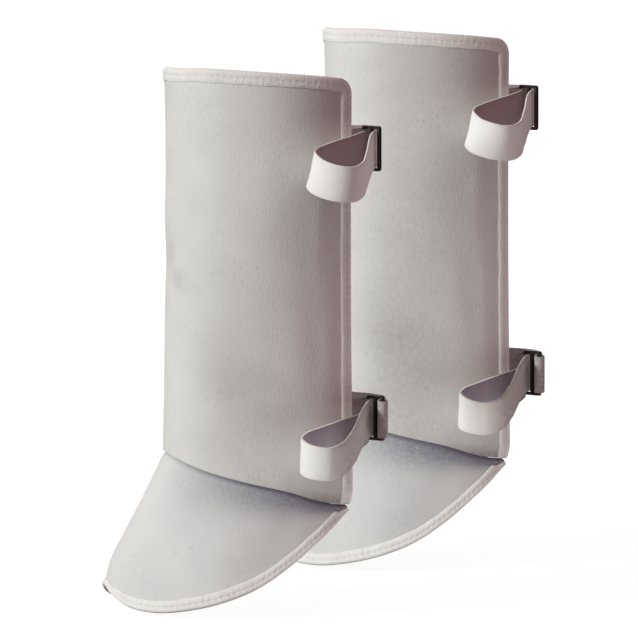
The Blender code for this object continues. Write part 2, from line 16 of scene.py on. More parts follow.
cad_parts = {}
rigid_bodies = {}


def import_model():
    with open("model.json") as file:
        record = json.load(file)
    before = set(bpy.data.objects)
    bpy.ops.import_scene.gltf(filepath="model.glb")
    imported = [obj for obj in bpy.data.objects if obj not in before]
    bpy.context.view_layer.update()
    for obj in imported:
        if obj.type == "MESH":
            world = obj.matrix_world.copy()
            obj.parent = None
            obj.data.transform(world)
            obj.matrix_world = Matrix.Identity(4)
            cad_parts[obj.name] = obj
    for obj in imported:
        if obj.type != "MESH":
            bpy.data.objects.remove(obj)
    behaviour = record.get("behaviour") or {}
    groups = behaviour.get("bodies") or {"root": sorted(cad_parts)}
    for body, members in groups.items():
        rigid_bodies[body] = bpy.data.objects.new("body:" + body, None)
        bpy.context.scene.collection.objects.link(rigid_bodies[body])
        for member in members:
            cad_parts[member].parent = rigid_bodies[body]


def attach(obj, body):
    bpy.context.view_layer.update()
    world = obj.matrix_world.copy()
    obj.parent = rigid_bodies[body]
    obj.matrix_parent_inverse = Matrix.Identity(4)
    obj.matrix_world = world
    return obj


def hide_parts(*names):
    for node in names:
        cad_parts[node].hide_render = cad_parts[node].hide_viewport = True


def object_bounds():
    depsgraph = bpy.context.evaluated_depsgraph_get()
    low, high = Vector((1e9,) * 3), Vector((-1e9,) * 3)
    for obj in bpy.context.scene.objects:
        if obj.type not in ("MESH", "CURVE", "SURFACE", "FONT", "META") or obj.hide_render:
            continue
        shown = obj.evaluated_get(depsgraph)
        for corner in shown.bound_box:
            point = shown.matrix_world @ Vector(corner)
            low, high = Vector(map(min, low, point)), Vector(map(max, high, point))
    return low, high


for old in list(bpy.data.objects):
    bpy.data.objects.remove(old, do_unlink=True)
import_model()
cad_low, cad_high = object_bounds()
MM = 0.001
COVERS = {"near": (0.0, 0.0, 0.0), "far": (-0.246, 0.165, 0.0)}
print("CAD box", [round(v, 4) for v in (*cad_low, *cad_high)])

# %% [markdown]
# ## Camera, floor and light
# The photo was taken from far off, so its upright edges stay upright. A long lens at 18 m gives
# that flat look. The camera stands 80 degrees round from the toes and a little above. The floor
# is pale and large enough to fill the view, and it lies just under the lowest rim.

# %% Camera
def direction(turn, rise):
    """The way to a place, by degrees round from the toes and degrees up."""
    turn, rise = math.radians(turn), math.radians(rise)
    level = math.cos(rise)
    return Vector((math.sin(turn) * level, -math.cos(turn) * level, math.sin(rise)))


AZIMUTH, ELEVATION, DISTANCE, VIEW_WIDTH = 80.0, 7.0, 18.0, 0.4785
AIM = Vector((-0.0056, 0.0363, 0.0960))
toward = direction(AZIMUTH, ELEVATION)
bpy.ops.object.camera_add(location=AIM + toward * DISTANCE)
camera = bpy.context.object
camera.rotation_euler = (-toward).to_track_quat("-Z", "Y").to_euler()
camera.data.sensor_width = 36.0
camera.data.lens = camera.data.sensor_width * DISTANCE / VIEW_WIDTH
camera.data.clip_end = 200.0
bpy.context.scene.camera = camera
bpy.context.scene.view_settings.view_transform = "Standard"
print("lens", round(camera.data.lens), "mm at", DISTANCE, "m")

# %% Colours and nodes
def hex_colour(text):
    """An sRGB hex colour as linear red, green, blue and alpha."""
    values = [int(text[i : i + 2], 16) / 255 for i in (1, 3, 5)]
    linear = [v / 12.92 if v <= 0.04045 else ((v + 0.055) / 1.055) ** 2.4 for v in values]
    return (*linear, 1.0)


def add_node(tree, kind, inputs=None, **settings):
    """Adds a node with its settings, and sets or links its inputs."""
    node = tree.nodes.new(kind)
    for key, value in settings.items():
        setattr(node, key, value)
    for key, value in (inputs or {}).items():
        if isinstance(value, bpy.types.NodeSocket):
            tree.links.new(value, node.inputs[key])
        else:
            node.inputs[key].default_value = value
    return node


def new_finish(name):
    """A new material, its node tree and its main shader."""
    finish = bpy.data.materials.new(name)
    finish.use_nodes = True
    return finish, finish.node_tree, finish.node_tree.nodes["Principled BSDF"]


print("white leather in linear light", [round(v, 3) for v in hex_colour("#e4e4de")[:3]])

# %% Floor
FLOOR_GAP = 4.0 * MM
PAPER_GREY, PAPER_SEEN = 0.20, 0.93
# for other rays the paper glows beside the calves as a fill lamp and fades away from there, so it
# lifts their low parts
FLOOR_LIGHT, FLOOR_MIDDLE, FLOOR_FULL, FLOOR_NONE = 1.00, (0.10, 0.28, 0.0), 0.12, 0.40
bpy.ops.mesh.primitive_plane_add(size=160.0, location=(0.0, 0.0, cad_low.z - FLOOR_GAP))
floor = bpy.context.object
floor.name = "studio_floor"
paper, tree, shader = new_finish("white_backdrop_paper")
shader.inputs["Base Color"].default_value = (PAPER_GREY, PAPER_GREY, PAPER_GREY, 1.0)
shader.inputs["Roughness"].default_value = 1.0
shader.inputs["Specular IOR Level"].default_value = 0.0
shader.inputs["Emission Color"].default_value = (1.0, 1.0, 1.0, 1.0)
where = add_node(tree, "ShaderNodeTexCoord").outputs["Object"]
away = add_node(tree, "ShaderNodeVectorMath", {0: where, 1: FLOOR_MIDDLE}, operation="DISTANCE")
lit = add_node(tree, "ShaderNodeMapRange", {
    "Value": away.outputs["Value"], "From Min": FLOOR_FULL, "From Max": FLOOR_NONE,
    "To Min": FLOOR_LIGHT, "To Max": 0.0})
view = add_node(tree, "ShaderNodeLightPath")
glow = add_node(tree, "ShaderNodeMix", {
    0: view.outputs["Is Camera Ray"], 2: lit.outputs["Result"], 3: PAPER_SEEN})
tree.links.new(glow.outputs[0], shader.inputs["Emission Strength"])
floor.data.materials.append(paper)
print("floor at", round(floor.location.z, 4))

# %% [markdown]
# ## The light
# One broad light comes from the camera's left, towards the toes, so the leather is white there
# and falls to a mauve shade round the calf side. The studio's air gives that shade its colour,
# and the white floor lifts the shaded side near the ground. A weak fill from behind shows the
# sides that the camera doesn't see.

# %% Lights
#   name, turn, rise, width in degrees, strength, colour
SUNS = (
    ("key_light", 20.0, 20.0, 12.0, 2.62, (0.91, 1.0, 0.99)),
    ("fill_light", 260.0, 14.0, 40.0, 0.90, (1.0, 0.97, 0.96)),
)
for name, turn, rise, width, strength, colour in SUNS:
    way = direction(turn, rise)
    bpy.ops.object.light_add(type="SUN", location=way * 3.0)
    sun = bpy.context.object
    sun.name = name
    sun.rotation_euler = (-way).to_track_quat("-Z", "Y").to_euler()
    sun.data.angle = math.radians(width)
    sun.data.energy, sun.data.color = strength, colour

world = bpy.data.worlds.new("studio_air")
world.use_nodes = True
bpy.context.scene.world = world
sky = world.node_tree
sky.nodes.clear()
shade = add_node(sky, "ShaderNodeBackground", {"Color": (0.31, 0.185, 0.205, 1.0), "Strength": 1.0})
white = add_node(sky, "ShaderNodeBackground", {"Color": (1.0, 1.0, 1.0, 1.0), "Strength": 1.0})
rays = add_node(sky, "ShaderNodeLightPath")
seen = add_node(sky, "ShaderNodeMixShader", {
    0: rays.outputs["Is Camera Ray"], 1: shade.outputs[0], 2: white.outputs[0]})
add_node(sky, "ShaderNodeOutputWorld", {"Surface": seen.outputs[0]})
print("lights", [sun[0] for sun in SUNS])

# %% [markdown]
# ## The shape of the shin
# The panel is cut flat and wrapped round a leg, so every point on it has two addresses: how far
# round it is and how high it is. These tables hold the leg's oval, the panel's two edges and the
# flap's rim, by the angle from the front. A smooth curve through the rows gives the rest.

# %% Sizes of the panel and the flap
SHIN_HALF_WIDTH, SHIN_HALF_DEPTH = 66.0 * MM, 82.0 * MM
BACK_EDGE_ANGLE = 128.0
LEATHER, GAP = 2.0 * MM, 0.3 * MM
LEAN_INWARD, LEAN_BACK = math.tan(math.radians(4.4)), math.tan(math.radians(0.8))
TOP_CORNER_RADIUS, TOP_TILT = 10.0 * MM, math.tan(math.radians(7.4))

#   angle, top, seam
PANEL_EDGES = (
    (-20.0, 284.1, -3.0), (0.0, 285.6, 0.0), (20.0, 284.1, -3.0), (45.0, 282.9, -10.6),
    (70.0, 280.0, -18.5), (90.0, 277.6, -24.8), (110.0, 275.2, -33.3), (128.0, 272.8, -36.8),
    (140.0, 271.5, -38.0),
)
#   height, share
SHIN_WIDTHS = (
    (-40.0, 1.012), (0.0, 1.008), (80.0, 0.992), (170.0, 0.986), (250.0, 0.992), (300.0, 0.997),
)
#   angle, spread, height
FLAP_RIM = (
    (-10.0, 1.545, -105.4), (0.0, 1.558, -99.6), (10.0, 1.545, -105.4), (20.0, 1.495, -112.2),
    (32.0, 1.412, -114.8), (45.0, 1.335, -112.4), (60.0, 1.250, -106.0), (75.0, 1.165, -95.5),
    (90.0, 1.100, -79.8), (105.0, 1.050, -62.5), (115.0, 1.030, -52.0), (124.0, 1.019, -42.8),
    (126.5, 1.018, -40.8),
)
FLAP_END_ANGLE = 126.0
FLAP_LAP, FLAP_LAP_FULL_TO, FLAP_LAP_NONE_FROM = 8.0 * MM, 108.0, 116.0
FLAP_TURN_DROP, FLAP_SHOULDER_DROP, FLAP_SHOULDER_OUT = 1.2 * MM, 5.0 * MM, 0.9 * MM
#   share of the way from the flap's shoulder to its rim, swell over the toes
TOE_SWELL = ((0.0, 0.0), (0.4, 0.15), (0.6, 0.50), (0.8, 1.00), (1.0, 0.0))
TOE_SWELL_DEPTH, TOE_SWELL_ANGLE = 3.0 * MM, 24.0

# %% Reading a table, and walking round the oval
def column(table, x, index):
    """The table's value in one column at x, smooth between its rows."""
    rows = np.array(table)
    at, values = rows[:, 0], rows[:, index]
    slopes = np.gradient(values, at)
    x = np.clip(x, at[0], at[-1])
    i = np.clip(np.searchsorted(at, x) - 1, 0, len(at) - 2)
    width = at[i + 1] - at[i]
    t = (x - at[i]) / width
    rise = values[i] * (1 + 2 * t) * (1 - t) ** 2 + values[i + 1] * t * t * (3 - 2 * t)
    return rise + width * t * (1 - t) * (slopes[i] * (1 - t) - slopes[i + 1] * t)


steps = np.linspace(0.0, 180.0, 721)
edges = np.stack([SHIN_HALF_WIDTH * np.sin(np.radians(steps)),
                  SHIN_HALF_DEPTH * np.cos(np.radians(steps))])
walked = np.concatenate([[0.0], np.cumsum(np.hypot(*np.diff(edges)))])


def distance_at(angle):
    """How far round from the front an angle is, along the leather."""
    return np.sign(angle) * np.interp(np.abs(angle), steps, walked)


def angle_at(distance):
    return np.sign(distance) * np.interp(np.abs(distance), walked, steps)


def unit(vectors):
    return vectors / np.linalg.norm(vectors, axis=-1, keepdims=True)


def walk(points):
    """How far along a line each of its points is."""
    return np.concatenate([[0.0], np.cumsum(np.linalg.norm(np.diff(points, axis=0), axis=1))])


def read_at(at, run, values):
    """The columns of values, which lie along run, read at other places."""
    return np.stack([np.interp(at, run, values[:, k]) for k in range(values.shape[1])], axis=-1)


PANEL_HALF = float(distance_at(BACK_EDGE_ANGLE))
print("the panel is", round(2 * PANEL_HALF / MM), "mm round")

# %% [markdown]
# ## Creases
# Split leather is soft, so it keeps a few broad swellings and short creases where the ankle and
# the shin push it. Each row below is one of them, on the sides that the photo hides too, with
# different sizes so that no two look alike. Along the ankle seam the panel and the flap also
# sink towards each other, deeper near the back corners.

# %% Table of creases
#   angle, height, half length along, half width, turn from level, depth
CREASES = (
    (4.0, 148.0, 22.0, 26.0, 0.0, -1.3), (-14.0, 171.0, 26.0, 20.0, 0.0, 0.8),
    (62.0, 118.0, 42.0, 60.0, 0.0, 0.9), (-60.0, 132.0, 40.0, 64.0, 0.0, 0.9),
    (34.0, 232.0, 46.0, 50.0, 0.0, -0.8), (-46.0, 214.0, 44.0, 46.0, 0.0, -0.7),
    (88.0, 58.0, 30.0, 44.0, 0.0, -0.8), (-92.0, 70.0, 34.0, 46.0, 0.0, -0.8),
    (19.0, 133.0, 13.0, 3.4, 16.0, -0.55), (16.0, 124.0, 16.0, 3.0, -9.0, -0.40),
    (2.0, 139.0, 12.0, 3.2, 24.0, -0.50), (30.0, 128.0, 14.0, 5.0, 4.0, 0.35),
    (50.0, 40.0, 30.0, 7.0, 12.0, -0.45), (72.0, 24.0, 26.0, 6.0, -8.0, 0.40),
    (104.0, 92.0, 10.0, 34.0, 5.0, -0.55), (108.0, 176.0, 9.0, 40.0, -4.0, 0.45),
    (70.0, 205.0, 12.0, 46.0, 7.0, -0.40), (46.0, 168.0, 10.0, 38.0, -6.0, 0.35),
    (-28.0, 44.0, 28.0, 7.0, -14.0, -0.50), (-70.0, 30.0, 26.0, 6.0, 10.0, -0.45),
    (-102.0, 120.0, 9.0, 42.0, -6.0, -0.55), (-84.0, 196.0, 14.0, 50.0, 6.0, 0.50),
    (-40.0, 150.0, 16.0, 4.0, 18.0, -0.45), (-34.0, 90.0, 12.0, 44.0, -8.0, 0.40),
)
CREASE_EDGE_MARGIN = 14.0 * MM
ANKLE_FOLD_DEPTH, ANKLE_FOLD_ABOVE, ANKLE_FOLD_BELOW = 3.0 * MM, 10.0 * MM, 26.0 * MM
ANKLE_FOLD_STARTS, ANKLE_FOLD_FULL = 48.0, 112.0
print(len(CREASES), "creases, deepest", min(row[5] for row in CREASES), "mm")

# %% Where a point of the panel lies
def top_height(angle):
    height = column(PANEL_EDGES, np.abs(angle), 1) * MM
    height = height + TOP_TILT * SHIN_HALF_WIDTH * np.sin(np.radians(angle))
    inside = PANEL_HALF - np.abs(distance_at(angle))
    short = TOP_CORNER_RADIUS - np.clip(inside, 0.0, TOP_CORNER_RADIUS)
    return height - TOP_CORNER_RADIUS + np.sqrt(TOP_CORNER_RADIUS**2 - short**2)


def seam_height(angle):
    return column(PANEL_EDGES, np.abs(angle), 2) * MM


def ankle_fold(angle, height):
    """How far the leather sinks along the ankle seam, deeper towards the back corners."""
    reach = (np.abs(angle) - ANKLE_FOLD_STARTS) / (ANKLE_FOLD_FULL - ANKLE_FOLD_STARTS)
    reach = np.clip(reach, 0.0, 1.0)
    above = height - seam_height(angle)
    room = np.where(above > 0.0, ANKLE_FOLD_ABOVE, ANKLE_FOLD_BELOW)
    near = np.clip(1.0 - np.abs(above) / room, 0.0, 1.0)
    return ANKLE_FOLD_DEPTH * reach * reach * (3 - 2 * reach) * near


def wear(angle, height):
    """How far use has pushed the leather out at a point, before any binding."""
    angle, height = np.broadcast_arrays(np.asarray(angle, float), height)
    total = np.zeros(angle.shape)
    for at, up, along, across, turn, depth in CREASES:
        x, z = distance_at(angle) - distance_at(at), height - up * MM
        c, s = math.cos(math.radians(turn)), math.sin(math.radians(turn))
        far = ((c * x + s * z) / (along * MM)) ** 2 + ((c * z - s * x) / (across * MM)) ** 2
        total += depth * MM * np.exp(-far)
    to_side = PANEL_HALF - np.abs(distance_at(angle))
    to_end = np.minimum(height - seam_height(angle), top_height(angle) - height)
    total *= np.clip(np.minimum(to_side, to_end) / CREASE_EDGE_MARGIN - 1.0, 0.0, 1.0)
    return total - ankle_fold(angle, height)


def oval(angle, out=0.0, share=1.0):
    a = np.radians(angle)
    x, y = SHIN_HALF_WIDTH * np.sin(a), -SHIN_HALF_DEPTH * np.cos(a)
    nx, ny = np.sin(a) / SHIN_HALF_WIDTH, -np.cos(a) / SHIN_HALF_DEPTH
    length = np.hypot(nx, ny)
    return share * x + out * nx / length, share * y + out * ny / length


def shin_point(angle, height, out=0.0):
    """A point of the panel as it lies on the leg, out from its outer face."""
    share = column(SHIN_WIDTHS, np.asarray(height, float) / MM, 1)
    x, y = oval(angle, out + wear(angle, height), share)
    x, y, z = np.broadcast_arrays(x, y, height)
    return np.stack([x - LEAN_INWARD * z, y + LEAN_BACK * z, z], axis=-1)


print("front of the ankle", shin_point(0.0, 0.0).round(4))

# %% [markdown]
# ## From a flat grid to a sheet of leather
# Every leather piece starts as Blender's grid, which is a flat cloth with even squares and a UV
# map. Its points are then moved to where the leather lies when it is worn. Solidify gives it a
# thickness, and a small bevel takes the sharpness off the cut edges. The UV map keeps true
# lengths along the leather, so that nap and smudges follow the piece round the leg.

# %% Making one sheet
sheets = []


def new_grid(name, columns, rows):
    """A flat grid one metre wide, on its own in the selection."""
    bpy.ops.object.select_all(action="DESELECT")
    bpy.ops.mesh.primitive_grid_add(x_subdivisions=columns, y_subdivisions=rows, size=1.0)
    piece = bpy.context.object
    piece.name = piece.data.name = name
    return piece, piece.data


def apply_modifiers(piece):
    for modifier in list(piece.modifiers):
        bpy.ops.object.modifier_apply(modifier=modifier.name)


def leather_sheet(name, rule, columns, rows, thickness, material, edge=0.0, inside=None):
    """A sheet whose rule gives points and UV lengths for u and v, each from 0 to 1."""
    piece, mesh = new_grid(name, columns, rows)
    flat = np.empty(3 * len(mesh.vertices))
    mesh.vertices.foreach_get("co", flat)
    flat = flat.reshape(-1, 3)
    points, lengths, worn = rule(flat[:, 0] + 0.5, flat[:, 1] + 0.5)
    mesh.vertices.foreach_set("co", points.ravel())
    corners = np.empty(len(mesh.loops), int)
    mesh.loops.foreach_get("vertex_index", corners)
    mesh.uv_layers[0].data.foreach_set("uv", lengths[corners].ravel())
    # this attribute holds real smudges and wear together with painted shade
    mark = mesh.attributes.new("worn", "FLOAT", "POINT")
    mark.data.foreach_set("value", np.broadcast_to(worn, len(points)).astype(np.float32))
    mesh.update()
    for leather in (material, inside) if inside else (material,):
        mesh.materials.append(leather)
    wall = piece.modifiers.new("wall", "SOLIDIFY")
    wall.thickness, wall.offset = thickness, 0.0
    wall.material_offset = 1 if inside else 0
    if edge:
        soft = piece.modifiers.new("soft_edge", "BEVEL")
        soft.width, soft.segments, soft.angle_limit = edge, 2, math.radians(60.0)
    apply_modifiers(piece)
    bpy.ops.object.shade_smooth_by_angle(angle=math.radians(50.0))
    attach(piece, "root")
    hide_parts(name.replace("_leather", ""))
    sheets.append(piece)
    return piece


# %% [markdown]
# ## The leather's finish
# The covers are chrome-tanned split cowhide, left white. A split has no smooth grain side: both
# faces are short nap, like suede, so it is matte and scatters light with a faint sheen. Close up
# the nap makes short upright flecks, about 1 mm wide and 4 mm long, and the bump and the colour
# both follow those sizes. Handling leaves grey smudges. The same darker colour is also laid on as
# painted shade along the ankle seam, on the sides, on the far cover, at the needle holes and near
# the buckles. A strap's inside gets its own darker, mauve colour, which paints the shade inside
# the loops.

# %% Split leather
# the sizes of the hide's clouds, flecks, patches of flecks, the mottle that breaks up smudges and
# painted shade, and grain
CLOUD, FLECK, FLECK_PATCH, MOTTLE, GRAIN = 50.0 * MM, 1.3 * MM, 30.0 * MM, 4.0 * MM, 2.2 * MM


def split_leather(name, light, dark, smudge_and_shade, fleck_depth, bump):
    """Nap leather whose UV is in metres, darkened where the piece's attribute of smudges and
    painted shade says.
    """
    leather, tree, shader = new_finish(name)
    place = add_node(tree, "ShaderNodeTexCoord").outputs["UV"]
    long = add_node(tree, "ShaderNodeMapping", {"Vector": place, "Scale": (1.0, 0.25, 1.0)})
    cloud, nap, patch, mottle, grain = (
        add_node(tree, "ShaderNodeTexNoise", {
            "Vector": along, "Scale": 1 / size, "Detail": detail}).outputs["Fac"]
        for along, size, detail in (
            (place, CLOUD, 3.0), (long.outputs["Vector"], FLECK, 2.0), (place, FLECK_PATCH, 2.0),
            (place, MOTTLE, 5.0), (place, GRAIN, 4.0),
        )
    )
    tone, fleck, where, broken = (
        add_node(tree, "ShaderNodeMapRange", {
            "Value": value, "From Min": low, "From Max": high, "To Min": least}).outputs["Result"]
        for value, low, high, least in (
            (cloud, 0.30, 0.70, 0.0), (nap, 0.57, 0.72, 0.0), (patch, 0.46, 0.62, 0.15),
            (mottle, 0.30, 0.70, 0.72),
        )
    )
    worn = add_node(tree, "ShaderNodeAttribute", attribute_name="worn").outputs["Fac"]
    amount, stain_and_shade = (
        add_node(tree, "ShaderNodeMath", {0: a, 1: b}, operation="MULTIPLY").outputs[0]
        for a, b in ((fleck, where), (worn, broken))
    )
    depth = add_node(tree, "ShaderNodeMath", {0: amount, 1: fleck_depth}, operation="MULTIPLY")
    colour = hex_colour(dark)
    # the colour mixes towards the smudge colour for the nap's flecks, and for real smudges and
    # painted shade
    for share, other in ((tone, light), (depth.outputs[0], smudge_and_shade), (stain_and_shade, smudge_and_shade)):
        colour = add_node(tree, "ShaderNodeMix", {
            0: share, 6: colour, 7: hex_colour(other)}, data_type="RGBA").outputs[2]
    tree.links.new(colour, shader.inputs["Base Color"])
    height = add_node(tree, "ShaderNodeMath", {0: nap, 1: grain}, operation="ADD")
    relief = add_node(tree, "ShaderNodeBump", {
        "Height": height.outputs[0], "Strength": bump, "Distance": 0.0008})
    tree.links.new(relief.outputs["Normal"], shader.inputs["Normal"])
    shader.inputs["Roughness"].default_value = 0.92
    shader.inputs["IOR"].default_value = 1.45
    shader.inputs["Specular IOR Level"].default_value = 0.2
    shader.inputs["Sheen Weight"].default_value = 0.12
    shader.inputs["Sheen Roughness"].default_value = 0.6
    return leather


#     name, light, dark, colour of smudges and painted shade, depth of the flecks' colour, bump
LEATHERS = (
    ("white_split_cowhide", "#e4e4de", "#dad9d4", "#8b8586", 0.26, 0.22),
    # the flap's blue-grey smudge colour is the colour of its painted seam shade
    ("white_flap_cowhide", "#e3e4e0", "#d9dad7", "#7d7f8a", 0.22, 0.20),
    ("white_binding_leather", "#f6f6f1", "#efeee9", "#8e8683", 0.26, 0.40),
    ("white_strap_leather", "#faf9f4", "#f2f0ea", "#8a807b", 0.14, 0.20),
    # the two strap insides are darkened mauve colours that paint the shade inside the loops, the
    # upper one darker
    ("grey_strap_flesh_side", "#bba9a7", "#a69495", "#7b6b6c", 0.30, 0.25),
    ("pale_strap_flesh_side", "#d6d2d8", "#c0bac3", "#7b6b6c", 0.30, 0.25),
)
panel_leather, flap_leather, binding_leather, strap_leather, upper_flesh_shade, lower_flesh_shade = (
    split_leather(*row) for row in LEATHERS
)
print("leathers", [row[0] for row in LEATHERS])

# %% [markdown]
# ## Shin panel
# The panel is one piece, about 330 mm round and 320 mm high, wrapped round the front of the shin
# and open behind. A grid with points every 2.5 mm is fine enough for its creases. Smudges lie on
# the shin's front, where the photo shows them. Broad patches of painted shade lie on the sides and
# above the seam's back corners, and the far cover carries more painted shade on its outer side.

# %% Panel
PANEL_POINTS_APART, PANEL_HIGH = 2.5 * MM, 322.0 * MM
CUT_EDGE_ROUND = 0.4 * MM
# the far cover is darkened by this share of painted shade on its outer side
COVER_SHADE = {"near": 0.0, "far": 0.26}
#     painted shade above the seam's back corners: strength, first angle, angles until it is full,
#     half height
SEAM_SHADE = (0.8, 84.0, 24.0, 8.0 * MM)
#   the first two rows are smudges on the shin's front; the broader rows are painted shade on the
#   sides
#     angle, height, half length round, half length up, strength
SMUDGES_AND_SHADE = (
    (20.0, 131.0, 11.0, 8.0, 0.28), (8.0, 150.0, 12.0, 15.0, 0.20),
    (60.0, 60.0, 26.0, 16.0, 0.12), (86.0, 30.0, 20.0, 12.0, 0.10),
    (-50.0, 96.0, 24.0, 18.0, 0.14), (100.0, 150.0, 12.0, 30.0, 0.08),
    (62.0, 20.0, 34.0, 62.0, 0.30), (-66.0, 12.0, 36.0, 54.0, 0.26),
    (88.0, 168.0, 22.0, 40.0, 0.12), (56.0, 120.0, 24.0, 62.0, 0.15),
    (104.0, 262.0, 26.0, 44.0, 0.24), (-84.0, 210.0, 26.0, 46.0, 0.12),
)


def smudged_and_shaded(angle, height):
    """How far the panel's colour is darkened: painted shade above the seam's back corners, and the
    smudges and broad patches of painted shade.
    """
    strength, first, until, tall = SEAM_SHADE
    to_seam = (height - seam_height(angle)) / tall
    total = strength * np.clip((np.abs(angle) - first) / until, 0.0, 1.0) * np.exp(-(to_seam**2))
    for at, up, along, tall, strength in SMUDGES_AND_SHADE:
        x = (distance_at(angle) - distance_at(at)) / (along * MM)
        total += strength * np.exp(-(x**2) - ((height / MM - up) / tall) ** 2)
    return total


def side_shade(angle):
    """A broad patch of painted shade on the outer side, used on the far cover."""
    return np.exp(-(((angle - 72.0) / 30.0) ** 2))


def panel_rule(place, painted_shade):
    def rule(u, v):
        distance = (2 * u - 1) * PANEL_HALF
        angle = angle_at(distance)
        low, high = seam_height(angle), top_height(angle)
        height = low + (high - low) * v
        points = shin_point(angle, height, -LEATHER / 2) + place
        worn = smudged_and_shaded(angle, height) + painted_shade * side_shade(angle)
        return points, np.stack([distance, height], axis=-1), worn

    return rule


for cover, place in COVERS.items():
    columns = int(2 * PANEL_HALF / PANEL_POINTS_APART)
    rows = int(PANEL_HIGH / PANEL_POINTS_APART)
    name = cover + "_shin_panel_leather"
    panel = leather_sheet(
        name, panel_rule(place, COVER_SHADE[cover]), columns, rows, LEATHER, panel_leather,
        CUT_EDGE_ROUND,
    )
    print(name, len(panel.data.polygons), "faces")

# %% [markdown]
# ## Foot flap
# The flap is sewn under the panel's lower edge and flares out over the boot. Seen from above it
# grows from the leg's oval to a longer one, with most of its length over the toes. Its rows run
# from the hidden lap, round the shoulder at the seam, and down to the rim, with a few slack waves.

# %% Flap
#   angle, half width, share of the way down, depth
FLAP_WAVES = (
    (8.0, 9.0, 0.55, 1.0), (38.0, 12.0, 0.70, -0.9), (64.0, 11.0, 0.60, 0.8),
    (88.0, 9.0, 0.55, -0.7), (-16.0, 10.0, 0.60, -0.8), (-44.0, 12.0, 0.65, 0.9),
    (-72.0, 11.0, 0.60, -0.9),
)
# shares of the grid's height at which the lap ends and the shoulder lies
LAP_ENDS, SHOULDER = 0.1, 0.2
FLAP_SLACK = 0.8 * MM


def flap_rim(angle):
    seam, height = seam_height(angle), column(FLAP_RIM, np.abs(angle), 2) * MM
    x, y = oval(angle, -ankle_fold(angle, height), column(FLAP_RIM, np.abs(angle), 1))
    return np.stack([x - LEAN_INWARD * seam, y + LEAN_BACK * seam, height], axis=-1)


def flap_drop(angle, length, most):
    return np.minimum(length, most * (seam_height(angle) - flap_rim(angle)[..., 2]))


def flap_shoulder(angle):
    drop = flap_drop(angle, FLAP_SHOULDER_DROP, 0.45)
    out = FLAP_SHOULDER_OUT * drop / FLAP_SHOULDER_DROP
    return shin_point(angle, seam_height(angle) - drop, out)


def flap_normals(angle, above):
    """Outward directions on the rim, with the direction down to it from points above."""
    down = unit(flap_rim(angle) - above)
    along = unit(flap_rim(angle + 0.4) - flap_rim(angle - 0.4))
    return unit(np.cross(down, along)), down


def flap_face(angle, share):
    """The flap's outer face, a share of the way from its shoulder to its rim."""
    shoulder, rim = flap_shoulder(angle), flap_rim(angle)
    swell = TOE_SWELL_DEPTH * column(TOE_SWELL, share, 1)
    swell = swell * np.exp(-((angle / TOE_SWELL_ANGLE) ** 2))
    straight = shoulder + (rim - shoulder) * share[:, None]
    return straight + flap_normals(angle, shoulder)[0] * swell[:, None]


def flap_point(angle, down_share, out):
    """A point of the flap between its lap (0), its shoulder (0.2) and its rim (1)."""
    seam = seam_height(angle)
    lap = (FLAP_LAP_NONE_FROM - np.abs(angle)) / (FLAP_LAP_NONE_FROM - FLAP_LAP_FULL_TO)
    lap = np.clip(lap, 0.0, 1.0)
    top = seam + lap * FLAP_LAP - (1 - lap) * flap_drop(angle, 2 * GAP, 0.12)
    turn = seam - flap_drop(angle, FLAP_TURN_DROP, 0.25)
    under = -LEATHER - GAP + out
    shoulder = flap_shoulder(angle)
    t = np.clip((down_share - SHOULDER) / (1 - SHOULDER), 0.0, 1.0)
    slack = sum(
        depth * MM * np.exp(-(((angle - at) / half) ** 2) - ((t - down) / 0.3) ** 2)
        for at, half, down, depth in FLAP_WAVES
    )
    slack = (slack + FLAP_SLACK) * np.sin(np.pi * t) ** 2
    slack *= np.clip(np.linalg.norm(flap_rim(angle) - shoulder, axis=-1) / 0.04, 0.0, 1.0)
    skirt = flap_face(angle, t) + flap_normals(angle, shoulder)[0] * (out + slack)[:, None]
    hidden = shin_point(angle, top + (turn - top) * np.clip(down_share / LAP_ENDS, 0, 1), under)
    bend = np.clip((down_share - LAP_ENDS) / (SHOULDER - LAP_ENDS), 0.0, 1.0)[:, None]
    return np.where(down_share[:, None] >= SHOULDER, skirt, hidden * (1 - bend) + skirt * bend)


FLAP_HALF = float(distance_at(FLAP_END_ANGLE))
FLAP_LENGTH, FLAP_SPREAD = 130.0 * MM, 1.25
FLAP_COLUMNS, FLAP_ROWS = 150, 50


def seam_valley_shade(angle, v):
    """Painted shade in the valley along the ankle seam, more towards the back corners, and a
    painted dark line in the seam.
    """
    deep = np.clip((np.abs(angle) - 15.0) / 75.0, 0.0, 1.0)
    below = np.clip(0.8 - v, 0.0, 1.0)
    seam_crease_shade = 0.50 * np.exp(-(((v - 0.885) / 0.035) ** 2))
    return 0.95 * deep**0.8 * np.exp(-((below / 0.20) ** 2)) + seam_crease_shade


def flap_rule(place, painted_shade):
    def rule(u, v):
        angle = angle_at((2 * u - 1) * FLAP_HALF)
        points = flap_point(angle, 1 - v, np.full(len(u), -LEATHER / 2)) + place
        lengths = np.stack([(2 * u - 1) * FLAP_HALF * FLAP_SPREAD, v * FLAP_LENGTH], axis=-1)
        # the flap is darkened by painted seam shade, and on the far cover by painted side shade
        return points, lengths, seam_valley_shade(angle, v) + 0.6 * painted_shade * side_shade(angle)

    return rule


for cover, place in COVERS.items():
    name = cover + "_foot_flap_leather"
    flap = leather_sheet(
        name, flap_rule(place, COVER_SHADE[cover]), FLAP_COLUMNS, FLAP_ROWS, LEATHER, flap_leather,
        CUT_EDGE_ROUND,
    )
    print(name, len(flap.data.polygons), "faces")

# %% [markdown]
# ## Folded bindings
# A strip of thin leather is folded over each edge and sewn through all the layers, so it has two
# flat legs, up to 9 mm long with skived inner edges, and a round fold outside the edge. The seam
# pulls a shallow groove into both legs, and each needle hole pulls a small dimple, every 5 mm.

